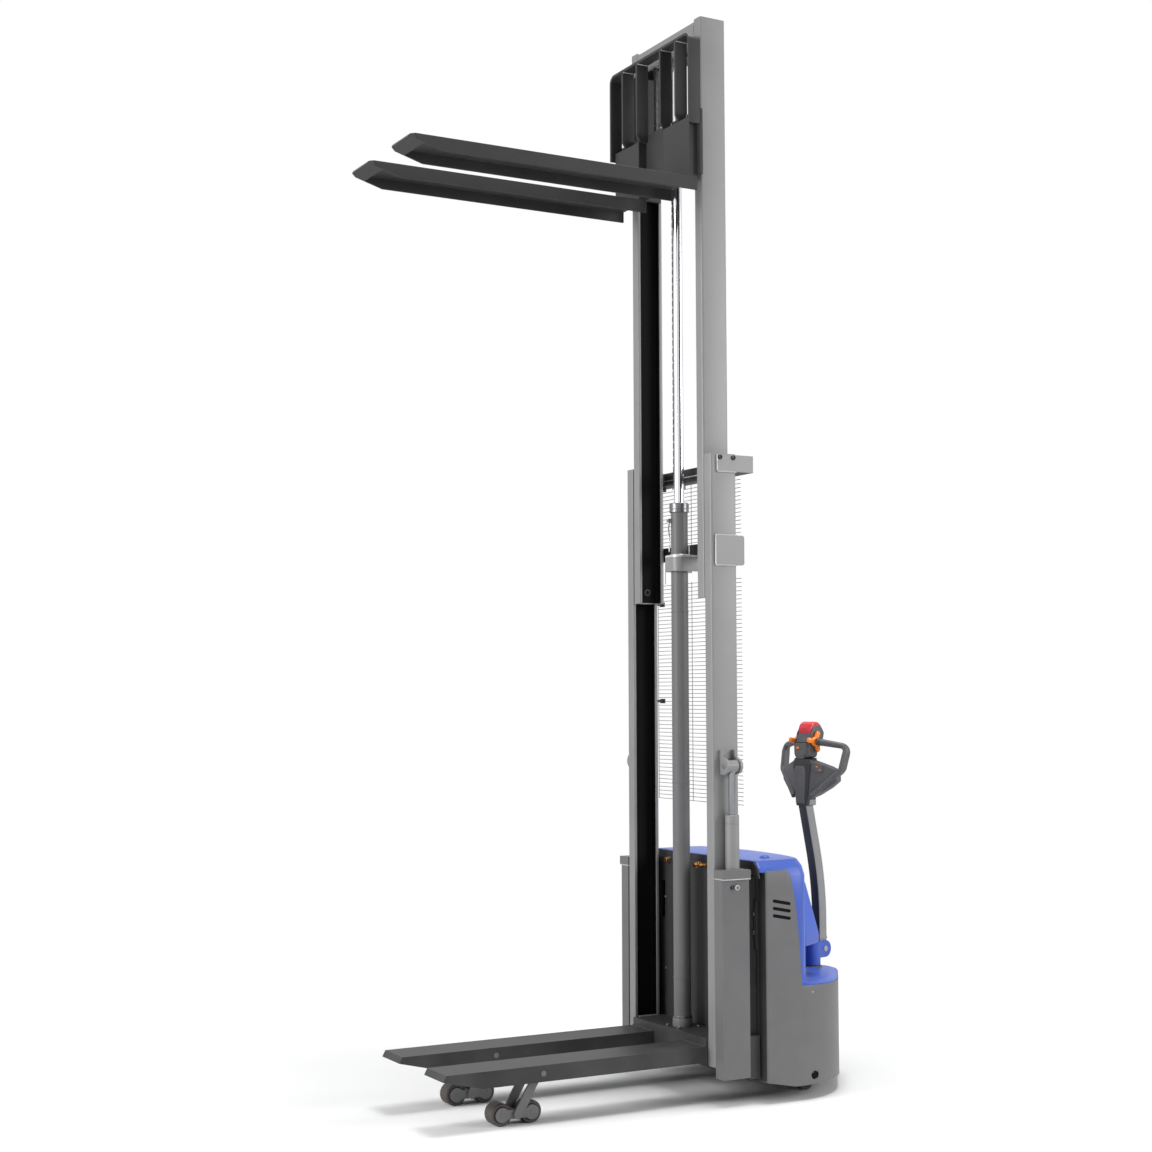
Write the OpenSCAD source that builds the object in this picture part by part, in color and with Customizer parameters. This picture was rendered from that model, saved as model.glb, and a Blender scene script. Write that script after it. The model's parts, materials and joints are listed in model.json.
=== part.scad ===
// Electric stacker with a two-stage mast, forks over liftable support legs and a tiller.
// Lengths are in millimetres. +X points to the operator, the forks point to -X, +Z is up.
// The shape at rest has the support legs raised and the mast fully extended.

/* [Lift] */
// Height that the support legs and mast are raised at rest
initial_lift = 120; // [40:5:125]
// Length of the inner columns that one stage's travel leaves free for the carriage
carriage_room = 610; // [602:1:700]

/* [Forks and legs] */
// Fork length from the shank's front face
fork_len = 1150; // [1000:10:1250]
// Overall width of one fork
fork_w = 186; // [180:2:192]
// Distance between the fork centre lines
fork_pitch = 374; // [370:2:380]
// Thickness of the fork's folded plate
fork_t = 8; // [6:1:10]
// Height of the fork's side flanges
fork_h = 50; // [40:2:56]
// Thickness of the fork shank
shank_t = 35; // [25:1:40]
// Height of the leg's top when it is down
leg_low_top = 87; // [86:1:95]
// Width of one support leg
leg_w = 158; // [150:2:160]
// Height of the leg channel
leg_h = 58; // [56:1:64]
// Thickness of the leg plate
leg_t = 6; // [4:1:6]
// Diameter of a load roller
roller_d = 80; // [76:1:80]
// Width of a load roller
roller_w = 60; // [50:2:64]
// Distance between the two rollers of a bogie
roller_pitch = 116; // [114:1:130]
// Length of the swing arm from leg pivot to bogie pivot
arm_len = 160; // [150:1:170]

/* [Mast] */
// Overall width of the outer mast
mast_w = 621; // [615:1:622]
// Depth of the mast columns
col_depth = 113; // [105:1:120]
// Width of one outer column
outer_w = 47; // [44:1:48]
// Width of one inner column
inner_w = 46; // [44:1:48]
// Gap between the nested columns
rail_gap = 4; // [3:0.5:6]
// Thickness of the column flanges
flange_t = 13; // [10:1:15]
// Thickness of the column webs
web_t = 12; // [10:1:13]
// Length of the outer columns
outer_len = 2270; // [2200:10:2400]
// Length of the inner columns
inner_len = 2231; // [2100:10:2300]
// Outer diameter of the lift cylinder
cyl_d = 66; // [60:1:70]
// Diameter of the lift cylinder's rod
rod_d = 38; // [30:1:42]
// Pitch radius of the chain pulleys
pulley_r = 40; // [34:1:42]
// Distance of each chain from the centre plane
chain_y = 100; // [96:1:110]
// Half the width of a lift chain
chain_half = 9; // [6:1:11]
// Half the depth of a lift chain
chain_deep = 6; // [4:1:7]

/* [Carriage] */
// Overall width of the load backrest
backrest_w = 602; // [580:2:620]
// Height of the backrest's top above the fork face
backrest_h = 552; // [520:2:560]
// Depth of the backrest bars
bar_deep = 52; // [40:1:56]
// Thickness of the backrest bars
bar_t = 11; // [8:1:14]
// Height of the carriage plate's top above the fork face
plate_h = 260; // [220:5:300]

/* [Initial lift] */
// Outer diameter of the initial lift barrels
jack_d = 52; // [48:1:54]
// Diameter of the initial lift rods
jack_rod_d = 25; // [20:1:30]
// Width of one guide box
box_w = 52; // [48:1:56]
// Depth of one guide box
box_deep = 118; // [114:1:122]
// Height of the guide box cap's top above the floor
box_top = 858; // [800:2:880]
// Height of the guide box cap
cap_h = 33; // [20:1:40]

/* [Chassis] */
// Overall width of the drive unit
body_w = 790; // [770:2:800]
// Distance from the mast's front face to the side panel's front edge
panel_x = 174; // [170:1:190]
// Where the side panels start to round off
round_x = 337; // [330:1:345]
// Length of the rounded rear
round_len = 348; // [340:1:360]
// Radius of the rear nose, centred on the steering axis
nose_r = 99; // [97:1:106]
// Height of the side panel above the floor
skirt_z = 54; // [50:1:60]
// Height of the side panel's top edge
panel_top = 850; // [820:2:870]
// Height of the blue cover's top
cover_top = 886; // [870:2:900]
// Thickness of the panels and covers
shell_t = 3; // [2:0.5:4]
// Height of the deck at its front end
deck_z = 421; // [415:1:430]
// Fall of the deck towards the rear nose
deck_fall = 16; // [8:1:24]
// Diameter of the casters
caster_d = 80; // [70:2:90]
// Distance of the casters from the centre plane
caster_y = 235; // [225:1:245]

/* [Drive and tiller] */
// Distance from the mast's front face to the steering axis
steer_x = 668; // [664:1:670]
// Angle that the tiller is turned at rest
steer_yaw = 14; // [0:1:20]
// Diameter of the drive wheel
wheel_d = 176; // [160:2:178]
// Width of the drive wheel
wheel_w = 50; // [40:2:52]
// Diameter of the steering column
column_d = 63; // [58:1:66]
// Width of the tiller arm
tiller_w = 38; // [30:1:42]
// Depth of the tiller arm
tiller_deep = 46; // [40:1:50]
// Height of the tiller pivot
pivot_z = 487; // [480:1:495]
// Height of the tiller head's top
head_top = 1394; // [1380:2:1420]
// Half the distance between the outer handle bars
grip_reach = 160; // [150:2:180]
// Radius of the handle grips
grip_r = 14; // [12:0.5:16]

/* [Fits] */
// Radial running clearance of pins and shafts
fit = 0.05; // [0.02:0.01:0.1]
// Gap between parts that move past each other
run_gap = 3; // [2:0.5:4]

/* [Hidden] */
$fn = 64;
eps = 0.01;

// Colours of the finishes
mast_grey = [0.42, 0.42, 0.42];
body_grey = [0.38, 0.38, 0.38];
dark_grey = [0.16, 0.16, 0.17];
cover_blue = [0.36, 0.45, 0.80];
bright_steel = [0.80, 0.80, 0.82];
plastic_grey = [0.22, 0.22, 0.23];
signal_red = [0.85, 0.12, 0.18];
signal_orange = [0.98, 0.52, 0.05];
roller_black = [0.08, 0.08, 0.08];

// Travel of the inner mast, and of the carriage along it
stage_travel = inner_len - carriage_room;

// Heights of the lifted parts at rest
leg_top = leg_low_top + initial_lift;
base_over_leg = 30;
base_top = leg_top + base_over_leg;
base_h = 100;
base_bottom = base_top - base_h;
base_gap = 7;
nest_gap = run_gap;
fork_top = leg_top + nest_gap + fork_t + 2 * stage_travel;
inner_bottom = base_top + base_gap + stage_travel;
inner_top = inner_bottom + inner_len;
outer_top = base_bottom + outer_len;

// Plan positions measured from the mast's front face
mast_half = mast_w / 2;
outer_tip_y = mast_half - outer_w;
inner_out_y = outer_tip_y - rail_gap;
inner_tip_y = inner_out_y - inner_w;
leg_y = fork_pitch / 2;
base_front = -10;
base_rear = col_depth + 17;
plate_x = -30;
plate_t = 12;
shank_front = plate_x - shank_t;
fork_tip = shank_front - fork_len;
fork_taper = 130;
fork_half = fork_w / 2;
cyl_x = 54;
body_half = body_w / 2;
rear_x = steer_x + nose_r;
// Puts the origin in the middle between fork tips and rear nose
mast_x = -(fork_tip + rear_x) / 2;

module at_mast() { translate([mast_x, 0, 0]) children(); }
module at_steer() { at_mast() translate([steer_x, 0, 0]) rotate([0, 0, steer_yaw]) children(); }
module far_side() { mirror([0, 1, 0]) children(); }
module both_sides() { children(); far_side() children(); }

// Cylinder whose axis runs along Y, from y0 to y1
module rod_y(r, y0, y1) { translate([0, y0, 0]) rotate([-90, 0, 0]) cylinder(r = r, h = y1 - y0); }
// Cylinder whose axis runs along X, from x0 to x1
module rod_x(r, x0, x1) { translate([x0, 0, 0]) rotate([0, 90, 0]) cylinder(r = r, h = x1 - x0); }
// Box given by its lowest and highest corners
module span(lo, hi) { translate(lo) cube(hi - lo); }
// Extrudes a profile drawn in X and Z along Y
module side_profile(y0, y1) { translate([0, y1, 0]) rotate([90, 0, 0]) linear_extrude(y1 - y0) children(); }

// Channel section, web along Y = 0, mouth towards +Y, outer corners rounded
corner_r = 8;
module corner_cut() {
    difference() {
        translate([-1, -1]) square(corner_r + 1);
        translate([corner_r, corner_r]) circle(corner_r);
    }
}
module channel_profile(w) {
    difference() {
        square([col_depth, w]);
        translate([flange_t, web_t]) square([col_depth - 2 * flange_t, w]);
        corner_cut();
        translate([col_depth, 0]) mirror([1, 0]) corner_cut();
    }
}

// Outer mast
module outer_column() {
    color(mast_grey) at_mast() translate([0, -mast_half, base_bottom])
        linear_extrude(outer_len) channel_profile(outer_w);
}
module outer_column_near() { outer_column(); }
module outer_column_far() { far_side() outer_column(); }

end_t = 8;
top_bar_h = 64;
top_bar_drop = 4;
top_bar_front = 27;
top_bar_rear = 186;
top_bar_z = outer_top - top_bar_drop - top_bar_h;
screw_head_r = 7;
screw_head_h = 5;
module outer_top_crossmember() {
    color(mast_grey) at_mast() {
        both_sides() {
            span([top_bar_front, -mast_half - end_t, top_bar_z],
                 [top_bar_rear, -mast_half, top_bar_z + top_bar_h]);
            for (x = [top_bar_front + screw_head_r, col_depth - 2 * screw_head_r])
                translate([x, 0, outer_top - top_bar_drop - screw_head_r])
                    rod_y(screw_head_r, -mast_half - end_t - screw_head_h, -mast_half - end_t);
        }
        span([top_bar_rear - end_t, -mast_half, top_bar_z], [top_bar_rear, mast_half, top_bar_z + top_bar_h]);
        span([col_depth + run_gap + chain_deep, -mast_half, top_bar_z],
             [top_bar_rear - end_t, mast_half, top_bar_z + end_t]);
        both_sides() rear_chain_anchor();
    }
}
rear_chain_x = cyl_x + 6 + pulley_r;
rear_anchor_h = 26;
rear_anchor_z = top_bar_z - rear_anchor_h;
anchor_rear = col_depth + 27;
tab_t = 10;
tab_half = chain_half + 4;
// Tab under the top bar that holds the fixed end of a lift chain
module rear_chain_anchor() {
    span([rear_chain_x - chain_deep - 2, -chain_y - tab_half, rear_anchor_z],
         [anchor_rear, -chain_y + tab_half, rear_anchor_z + tab_t]);
    span([anchor_rear - tab_t, -chain_y - tab_half, rear_anchor_z],
        [anchor_rear, -chain_y + tab_half, top_bar_z]);
}

mid_bar_drop = 308;
mid_bar_h = 112;
mid_bar_front = 17;
mid_bar_rear = 143;
mid_top = outer_top - mid_bar_drop;
clamp_half = 54;
clamp_front = 6;
clamp_plate_z = mid_top - 64;
clamp_h = 55;
clamp_t = 8;
module outer_mid_crossmember() {
    color(mast_grey) at_mast() {
        both_sides() span([mid_bar_front, -mast_half - end_t, mid_top - mid_bar_h],
                          [mid_bar_rear, -mast_half, mid_top]);
        span([mid_bar_rear - end_t, -mast_half, clamp_plate_z], [mid_bar_rear, mast_half, mid_top - end_t]);
        difference() {
            span([clamp_front, -clamp_half, clamp_plate_z - clamp_h],
                 [mid_bar_rear, clamp_half, clamp_plate_z + clamp_t]);
            translate([cyl_x, 0, 0]) cylinder(r = cyl_d / 2 + fit, h = outer_top);
            span([cyl_x + clamp_t, -clamp_half + clamp_t, clamp_plate_z - clamp_h - 1],
                 [mid_bar_rear + 1, clamp_half - clamp_t, clamp_plate_z]);
        }
    }
}

module base_crossmember() {
    color(mast_grey) at_mast() difference() {
        span([base_front, -outer_tip_y, base_bottom], [base_rear, outer_tip_y, base_top]);
        span([base_front + 12, -outer_tip_y + 12, base_bottom - 1],
            [base_rear - 12, outer_tip_y - 12, base_top - 14]);
    }
}

// Support legs
leg_tip = fork_tip + fork_taper + 10;
leg_half = leg_w / 2;
leg_bottom = leg_top - leg_h;
arm_pin_x = -688;
arm_pin_z = leg_top - 29;
arm_pin_r = 10;
module leg() {
    color(mast_grey) at_mast() translate([0, -leg_y, 0]) difference() {
        side_profile(-leg_half, leg_half) polygon([
            [leg_tip, leg_top - 22], [leg_tip + 12, leg_top], [base_front, leg_top],
            [base_front, leg_bottom], [leg_tip + 150, leg_bottom]]);
        span([leg_tip + 40, -leg_half + leg_t, leg_bottom - 1],
            [base_front - 12, leg_half - leg_t, leg_top - leg_t]);
        translate([arm_pin_x, 0, arm_pin_z]) rod_y(arm_pin_r + fit, -leg_half - 1, leg_half + 1);
    }
}
module leg_near() { leg(); }
module leg_far() { far_side() leg(); }

// Lift cylinder, fixed to the outer mast
gland_top = outer_top - 160;
gland_h = 37;
barrel_r = cyl_d / 2;
gland_r = barrel_r + 5;
rod_r = rod_d / 2;
bore_r = rod_r + 4;
bore_foot = base_top + 90;
collar_r = barrel_r + 5;
collar_h = 38;
module lift_cylinder() {
    color(mast_grey) at_mast() translate([cyl_x, 0, 0]) difference() {
        union() {
            translate([0, 0, base_top]) cylinder(r = collar_r, h = collar_h);
            translate([0, 0, base_top]) cylinder(r = barrel_r, h = gland_top - base_top);
            translate([0, 0, gland_top - gland_h]) cylinder(r = gland_r, h = gland_h);
            for (z = [base_top + 183, base_top + 925, clamp_plate_z - 209])
                translate([0, 0, z]) cylinder(r = barrel_r + 1, h = 5);
            translate([-barrel_r - 14, 8, gland_top - 70]) rotate([0, 90, 0]) cylinder(r = 6, h = 20);
        }
        translate([0, 0, bore_foot]) cylinder(r = bore_r, h = gland_top - gland_h - bore_foot);
        translate([0, 0, bore_foot]) cylinder(r = rod_r + fit, h = gland_top);
    }
}
piston_h = 50;
rod_foot = gland_top - 150;
rod_head = inner_top - 86;
module lift_rod() {
    color(bright_steel) at_mast() translate([cyl_x, 0, 0]) {
        translate([0, 0, rod_foot]) cylinder(r = rod_r, h = rod_head - rod_foot);
        translate([0, 0, rod_foot]) cylinder(r = bore_r - fit, h = piston_h);
    }
}

// Wire guard behind the mast, in an upper and a lower field
wire_r = 1.5;
guard_x = 150;
guard_half = 318;
guard_pitch = 15.5;
guard_top = top_bar_z - 2;
upper_foot = mid_top - 14;
lower_top = mid_top - mid_bar_h - 40;
guard_drop = 1010;
lower_foot = mid_top - guard_drop;
module wire_rows(z0, z1) {
    for (z = [z0 : guard_pitch : z1])
        translate([guard_x - wire_r, -guard_half, z - wire_r]) cube([2 * wire_r, 2 * guard_half, 2 * wire_r]);
}
module wire_column(y, z0, z1) {
    translate([guard_x - 3 * wire_r, y - wire_r, z0 - wire_r])
        cube([2 * wire_r + eps, 2 * wire_r, z1 - z0 + 2 * wire_r]);
}
module mesh_guard() {
    color(dark_grey) at_mast() {
        wire_rows(upper_foot, guard_top);
        wire_rows(lower_foot, lower_top);
        for (y = [-guard_half + 8, -guard_half / 2, 14, guard_half / 2, guard_half - 8]) {
            wire_column(y, upper_foot, guard_top);
            wire_column(y, lower_foot, lower_top);
        }
        for (y = [-guard_half + 60, guard_half - 60])
            wire_column(y, lower_top, upper_foot);
        both_sides() for (z = [lower_foot + 380, lower_top - 90]) {
            span([guard_x - 3 * wire_r, outer_tip_y + 10, z], [guard_x + 4, outer_tip_y + 38, z + 18]);
            span([col_depth, outer_tip_y + 14, z + 4], [guard_x - 3 * wire_r, outer_tip_y + 20, z + 14]);
        }
        both_sides() span([guard_x - wire_r, outer_tip_y, guard_top - guard_pitch],
            [guard_x + 8, outer_tip_y + 10, top_bar_z]);
    }
}

// Initial lift cylinders, one in each guide box
jack_x = 62;
jack_y = mast_half + 30.5;
jack_r = jack_d / 2;
jack_foot_r = jack_r - 5;
jack_top = box_top + 201;
jack_rod_r = jack_rod_d / 2;
eye_z = jack_top + initial_lift + 59;
eye_r = 26;
eye_half = 22;
pin_r = 9.5;
lug_t = 10;
box_inner_y = mast_half + 3.5;
box_foot = 100;
box_wall = 4;
module lift_jack_barrels() {
    color(mast_grey) at_mast() both_sides() translate([jack_x, -jack_y, 0]) difference() {
        union() {
            translate([0, 0, box_foot + box_wall]) cylinder(r = jack_foot_r,
                h = box_top - box_foot - box_wall + 1);
            translate([0, 0, box_top]) cylinder(r = jack_r, h = jack_top - box_top);
        }
        translate([0, 0, box_foot + 60]) cylinder(r = jack_rod_r + 1, h = jack_top - box_foot - 90);
        translate([0, 0, box_foot + 60]) cylinder(r = jack_rod_r + fit, h = jack_top);
    }
}
module lift_jack_rods() {
    color(bright_steel) at_mast() both_sides() translate([jack_x, -jack_y, 0]) difference() {
        union() {
            translate([0, 0, jack_top - 190]) cylinder(r = jack_rod_r, h = eye_z - jack_top + 190);
            translate([0, 0, eye_z]) rod_x(eye_r - 4, -eye_half, eye_half);
        }
        translate([0, 0, eye_z]) rod_x(pin_r + fit, -eye_half - 1, eye_half + 1);
    }
}
// Ear of the clevis, drawn in Y and Z round the pin
module lug_plate() {
    rotate([90, 0, 90]) linear_extrude(lug_t) union() {
        circle(r = eye_r + 2);
        translate([0, -eye_r - 6]) square([jack_y - mast_half, 2 * eye_r + 12]);
        translate([jack_y - mast_half - 16, -eye_r - 6]) square([16, 2 * eye_r + 40]);
    }
}
module lift_jack_lugs() {
    color(mast_grey) at_mast() both_sides() translate([jack_x, -jack_y, eye_z]) {
        translate([-eye_half - 1 - lug_t, 0, 0]) lug_plate();
        translate([eye_half + 1, 0, 0]) lug_plate();
        rod_x(pin_r, -eye_half - lug_t - 4, eye_half + lug_t + 4);
    }
}

// Inner mast
module inner_column() {
    color(mast_grey) at_mast() translate([0, -inner_out_y, inner_bottom]) difference() {
        linear_extrude(inner_len) channel_profile(inner_w);
        translate([col_depth / 2, -1, roller_gap_z]) rotate([-90, 0, 0])
            cylinder(r = axle_r + fit, h = web_t + 2);
    }
}
module inner_column_near() { inner_column(); }
module inner_column_far() { far_side() inner_column(); }

pulley_x = cyl_x + 6;
pulley_z = inner_top - 60;
pulley_bore_r = 12;
pulley_half = 12;
cheek_t = 6;
head_foot = inner_top - 96;
head_cap = inner_top - 10;
module inner_top_crossmember() {
    color(mast_grey) at_mast() {
        span([0, -inner_tip_y, head_foot], [10, inner_tip_y, head_cap]);
        span([col_depth - 5, -inner_tip_y, head_foot], [col_depth, inner_tip_y, head_cap]);
        both_sides() for (s = [-1, 1])
            translate([0, -chain_y + s * (pulley_half + 2 + cheek_t / 2), 0])
                span([10, -cheek_t / 2, head_foot], [col_depth - 5, cheek_t / 2, head_cap]);
        span([cyl_x - 26, -chain_y + pulley_half + 2 + cheek_t, rod_head],
             [cyl_x + 28, chain_y - pulley_half - 2 - cheek_t, rod_head + 40]);
        both_sides() translate([pulley_x, 0, pulley_z])
            rod_y(pulley_bore_r, -chain_y - pulley_half - 3, -chain_y + pulley_half + 3);
    }
}
// Chain pulley with a groove that clears the chain
module pulley() {
    groove_r = pulley_r - chain_deep - 0.5;
    rotate([90, 0, 0]) translate([0, 0, -pulley_half]) difference() {
        union() {
            cylinder(r = groove_r, h = 2 * pulley_half);
            for (z = [0, 2 * pulley_half - 1.5]) translate([0, 0, z]) cylinder(r = pulley_r + 2, h = 1.5);
        }
        translate([0, 0, -1]) cylinder(r = pulley_bore_r + fit, h = 2 * pulley_half + 2);
    }
}
module chain_pulleys() {
    color(dark_grey) at_mast() both_sides() translate([pulley_x, -chain_y, pulley_z]) pulley();
}
module chain_strip(x, z0, z1) {
    span([x - chain_deep, -chain_y - chain_half, z0], [x + chain_deep, -chain_y + chain_half, z1]);
}
module chain_wraps() {
    color(dark_grey) at_mast() both_sides() translate([pulley_x, -chain_y, pulley_z]) difference() {
        rod_y(pulley_r + chain_deep, -chain_half, chain_half);
        rod_y(pulley_r - chain_deep, -chain_half - 1, chain_half + 1);
        translate([-100, -50, -200]) cube([200, 100, 200]);
    }
}
front_chain_x = pulley_x - pulley_r;
anchor_z = fork_top + 100;
module chain_front_runs() {
    color(dark_grey) at_mast() both_sides() chain_strip(front_chain_x, anchor_z + 26, pulley_z);
}
module chain_rear_runs() {
    color(dark_grey) at_mast() both_sides() chain_strip(rear_chain_x, rear_anchor_z + tab_t, pulley_z);
}

// Rollers that run in the column channels
channel_half = col_depth / 2 - flange_t;
mast_roller_r = channel_half - 0.3;
roller_gap_z = 46;
module channel_roller(w) {
    rotate([90, 0, 0]) translate([0, 0, -w / 2]) difference() {
        cylinder(r = mast_roller_r, h = w);
        translate([0, 0, -1]) cylinder(r = axle_r + fit, h = w + 2);
    }
}
axle_r = 12;
outer_roller_w = outer_w - web_t - 6;
outer_roller_y = inner_out_y + rail_gap + outer_roller_w / 2;
module mast_rollers() {
    color(roller_black) at_mast() both_sides()
        translate([col_depth / 2, -outer_roller_y, inner_bottom + roller_gap_z]) {
            channel_roller(outer_roller_w);
            rod_y(axle_r, outer_roller_w / 2, outer_roller_w / 2 + rail_gap + web_t - fit);
            rod_y(axle_r + fit, -outer_roller_w / 2, outer_roller_w / 2);
        }
}
inner_roller_w = inner_w - web_t - 6;
inner_roller_y = inner_tip_y + inner_roller_w / 2 + 2;
lower_roller_z = fork_top + 80;
upper_roller_z = lower_roller_z + 400;
module roller_pair(z) {
    color(roller_black) at_mast() both_sides() translate([col_depth / 2, -inner_roller_y, z])
        channel_roller(inner_roller_w);
}
module carriage_rollers_upper() { roller_pair(upper_roller_z); }
module carriage_rollers_lower() { roller_pair(lower_roller_z); }

// Fork carriage
cheek_out_y = inner_tip_y - run_gap;
carriage_cheek_t = 14;
plate_foot = fork_top + 7;
plate_top = fork_top + plate_h;
module carriage_plate() {
    color(dark_grey) at_mast() {
        span([plate_x, -backrest_w / 2, plate_foot], [plate_x + plate_t, backrest_w / 2, plate_top]);
        both_sides() {
            span([plate_x + plate_t, -cheek_out_y, lower_roller_z - 50],
                 [channel_half + col_depth / 2, -cheek_out_y + carriage_cheek_t, upper_roller_z + 50]);
            for (z = [lower_roller_z, upper_roller_z]) translate([col_depth / 2, 0, z])
                rod_y(axle_r, -inner_tip_y - inner_roller_w - 2, -cheek_out_y);
            span([plate_x + plate_t, -chain_y - 14, anchor_z],
                [front_chain_x + 10, -chain_y + 14, anchor_z + 26]);
        }
    }
}
backrest_top = fork_top + backrest_h;
bar_x = plate_x + 4;
bar_bend = 34;
slat_y = [200, 89];
module load_backrest() {
    color(dark_grey) at_mast() {
        half = backrest_w / 2;
        difference() {
            translate([bar_x - bar_deep, 0, 0]) rotate([90, 0, 90]) linear_extrude(bar_deep) difference() {
                bent_outline(half, backrest_top, bar_bend);
                bent_outline(half - bar_t, backrest_top - bar_t, bar_bend - bar_t);
            }
            span([plate_x, -half - 1, plate_foot - 1], [bar_x + 1, half + 1, plate_top]);
        }
        both_sides() for (y = slat_y)
            span([bar_x - bar_deep, -y - bar_t / 2, plate_top],
                [bar_x, -y + bar_t / 2, backrest_top - bar_t + 1]);
        both_sides() for (y = slat_y)
            span([bar_x - bar_deep, -y - bar_t / 2, plate_top - 30],
                [plate_x, -y + bar_t / 2, plate_top + 1]);
    }
}
// Arch with rounded top corners, drawn in Y and Z
module bent_outline(half, top, r) {
    foot = plate_top - 60;
    translate([-half, foot]) square([2 * half, top - r - foot]);
    translate([-half + r, top - r - 1]) square([2 * (half - r), r + 1]);
    for (s = [-1, 1]) translate([s * (half - r), top - r]) circle(r);
}
module fork() {
    color(dark_grey) at_mast() translate([0, -leg_y, 0]) {
        difference() {
            side_profile(-fork_half, fork_half) polygon([
                [fork_tip, fork_top - 12], [fork_tip + 8, fork_top], [plate_x, fork_top],
                [plate_x, fork_top - fork_h], [fork_tip + fork_taper, fork_top - fork_h]]);
            span([fork_tip + 60, -fork_half + fork_t, fork_top - fork_h - 1],
                 [plate_x + 1, fork_half - fork_t, fork_top - fork_t]);
            for (s = [-1, 1]) translate([fork_tip, s * fork_half, fork_top - 40])
                rotate([0, 0, 45]) translate([-16, -16, 0]) cube([32, 32, 80]);
        }
        span([shank_front, -fork_half, fork_top - fork_t + 1], [plate_x, fork_half, plate_top - 30]);
    }
}
module fork_near() { fork(); }
module fork_far() { far_side() fork(); }

// Swing arms, bogies and load rollers
roller_r = roller_d / 2;
arm_drop = arm_pin_z - roller_r;
arm_angle = asin(arm_drop / arm_len);
bogie_x = arm_pin_x - arm_len * cos(arm_angle);
bogie_pin_r = 10;
roller_axle_r = 8;
bogie_t = 5;
bogie_in = roller_w / 2 + 1;
arm_in = bogie_in + bogie_t + 2;
arm_t = 8;
arm_r = 22;
arm_foot_r = 17;
module roller_arm() {
    color(dark_grey) at_mast() translate([0, -leg_y, 0]) {
        for (y0 = [-arm_in - arm_t, arm_in]) {
            translate([arm_pin_x, 0, arm_pin_z]) rod_y(arm_r, y0, y0 + arm_t);
            translate([bogie_x, 0, roller_r]) rod_y(arm_foot_r, y0, y0 + arm_t);
            translate([arm_pin_x, y0, arm_pin_z]) rotate([0, 90 - arm_angle, 0])
                translate([-arm_foot_r, 0, -arm_len]) cube([2 * arm_foot_r, arm_t, arm_len]);
        }
        translate([arm_pin_x, 0, arm_pin_z]) {
            rod_y(arm_pin_r, -leg_half - 2, leg_half + 2);
            rod_y(arm_r - 5, -arm_in, arm_in);
        }
        translate([bogie_x, 0, roller_r]) rod_y(bogie_pin_r, -arm_in, arm_in);
    }
}
module roller_arm_near() { roller_arm(); }
module roller_arm_far() { far_side() roller_arm(); }
module bogie() {
    plate_r = 26;
    color(dark_grey) at_mast() translate([bogie_x, -leg_y, roller_r]) difference() {
        union() {
            for (y0 = [-bogie_in - bogie_t, bogie_in]) {
                for (s = [-1, 1]) translate([s * roller_pitch / 2, 0, 0]) rod_y(plate_r, y0, y0 + bogie_t);
                translate([-roller_pitch / 2, y0, -16]) cube([roller_pitch, bogie_t, 32]);
            }
            rod_y(bogie_pin_r + 4, -bogie_in, bogie_in);
            for (s = [-1, 1]) translate([s * roller_pitch / 2, 0, 0])
                rod_y(roller_axle_r, -bogie_in - bogie_t - 1, bogie_in + bogie_t + 1);
        }
        rod_y(bogie_pin_r + fit, -bogie_in - bogie_t - 2, bogie_in + bogie_t + 2);
    }
}
module bogie_near() { bogie(); }
module bogie_far() { far_side() bogie(); }
module load_roller(s) {
    color(roller_black) at_mast() translate([bogie_x + s * roller_pitch / 2, -leg_y, roller_r]) difference() {
        rod_y(roller_r, -roller_w / 2, roller_w / 2);
        rod_y(roller_axle_r + fit, -roller_w / 2 - 1, roller_w / 2 + 1);
    }
}
module load_roller_near_front() { load_roller(-1); }
module load_roller_near_rear() { load_roller(1); }
module load_roller_far_front() { far_side() load_roller(-1); }
module load_roller_far_rear() { far_side() load_roller(1); }

// Guide boxes on both sides of the mast
cap_over = 12;
box_rear = box_deep;
module guide_box() {
    y0 = -box_inner_y - box_w;
    color(body_grey) at_mast() difference() {
        union() {
            span([0, y0, box_foot], [box_rear, -box_inner_y, box_top - cap_h]);
            span([-1, y0 - cap_over, box_top - cap_h], [box_rear, -box_inner_y + 2, box_top]);
        }
        span([box_wall, y0 + box_wall, box_foot + box_wall],
            [box_rear - box_wall, -box_inner_y - box_wall, box_top - cap_h]);
        translate([jack_x, -jack_y, box_foot + box_wall]) cylinder(r = jack_foot_r + fit, h = box_top);
        translate([jack_x - 24, y0 - 1, box_top - cap_h - 30]) rod_y(4, -1, box_wall + 2);
    }
}
module guide_box_near() { guide_box(); }
module guide_box_far() { far_side() guide_box(); }

// Plan of the drive unit's rear, inset by t, as points on its near half
turn_end = 50;
nose_turn = 53.5;
function rear_plan(t) = concat(
    [for (a = [0 : 5 : turn_end]) [round_x + (round_len - t) * sin(a), -(body_half - t) * cos(a)]],
    [for (a = [nose_turn : 9 : 89.5]) [steer_x + (nose_r - t) * sin(a), -(nose_r - t) * cos(a)]],
    [[rear_x - t, 0]]);
// Both halves of that plan, closed by a straight front at x0
function full_plan(t, x0) = concat([[x0, -body_half + t]], rear_plan(t),
    [for (i = [len(rear_plan(t)) - 2 : -1 : 0]) [rear_plan(t)[i][0], -rear_plan(t)[i][1]]],
        [[x0, body_half - t]]);
// Half width of the drive unit's skin at distance dx behind the start of the curve
function skin_y(dx) = body_half * sqrt(1 - pow(dx / round_len, 2));
return_y = 58;
// Height of the panel's top edge at distance x behind the mast face
function deck_at(x) = deck_z - deck_fall * (x - round_x) / (rear_x - round_x);
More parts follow.
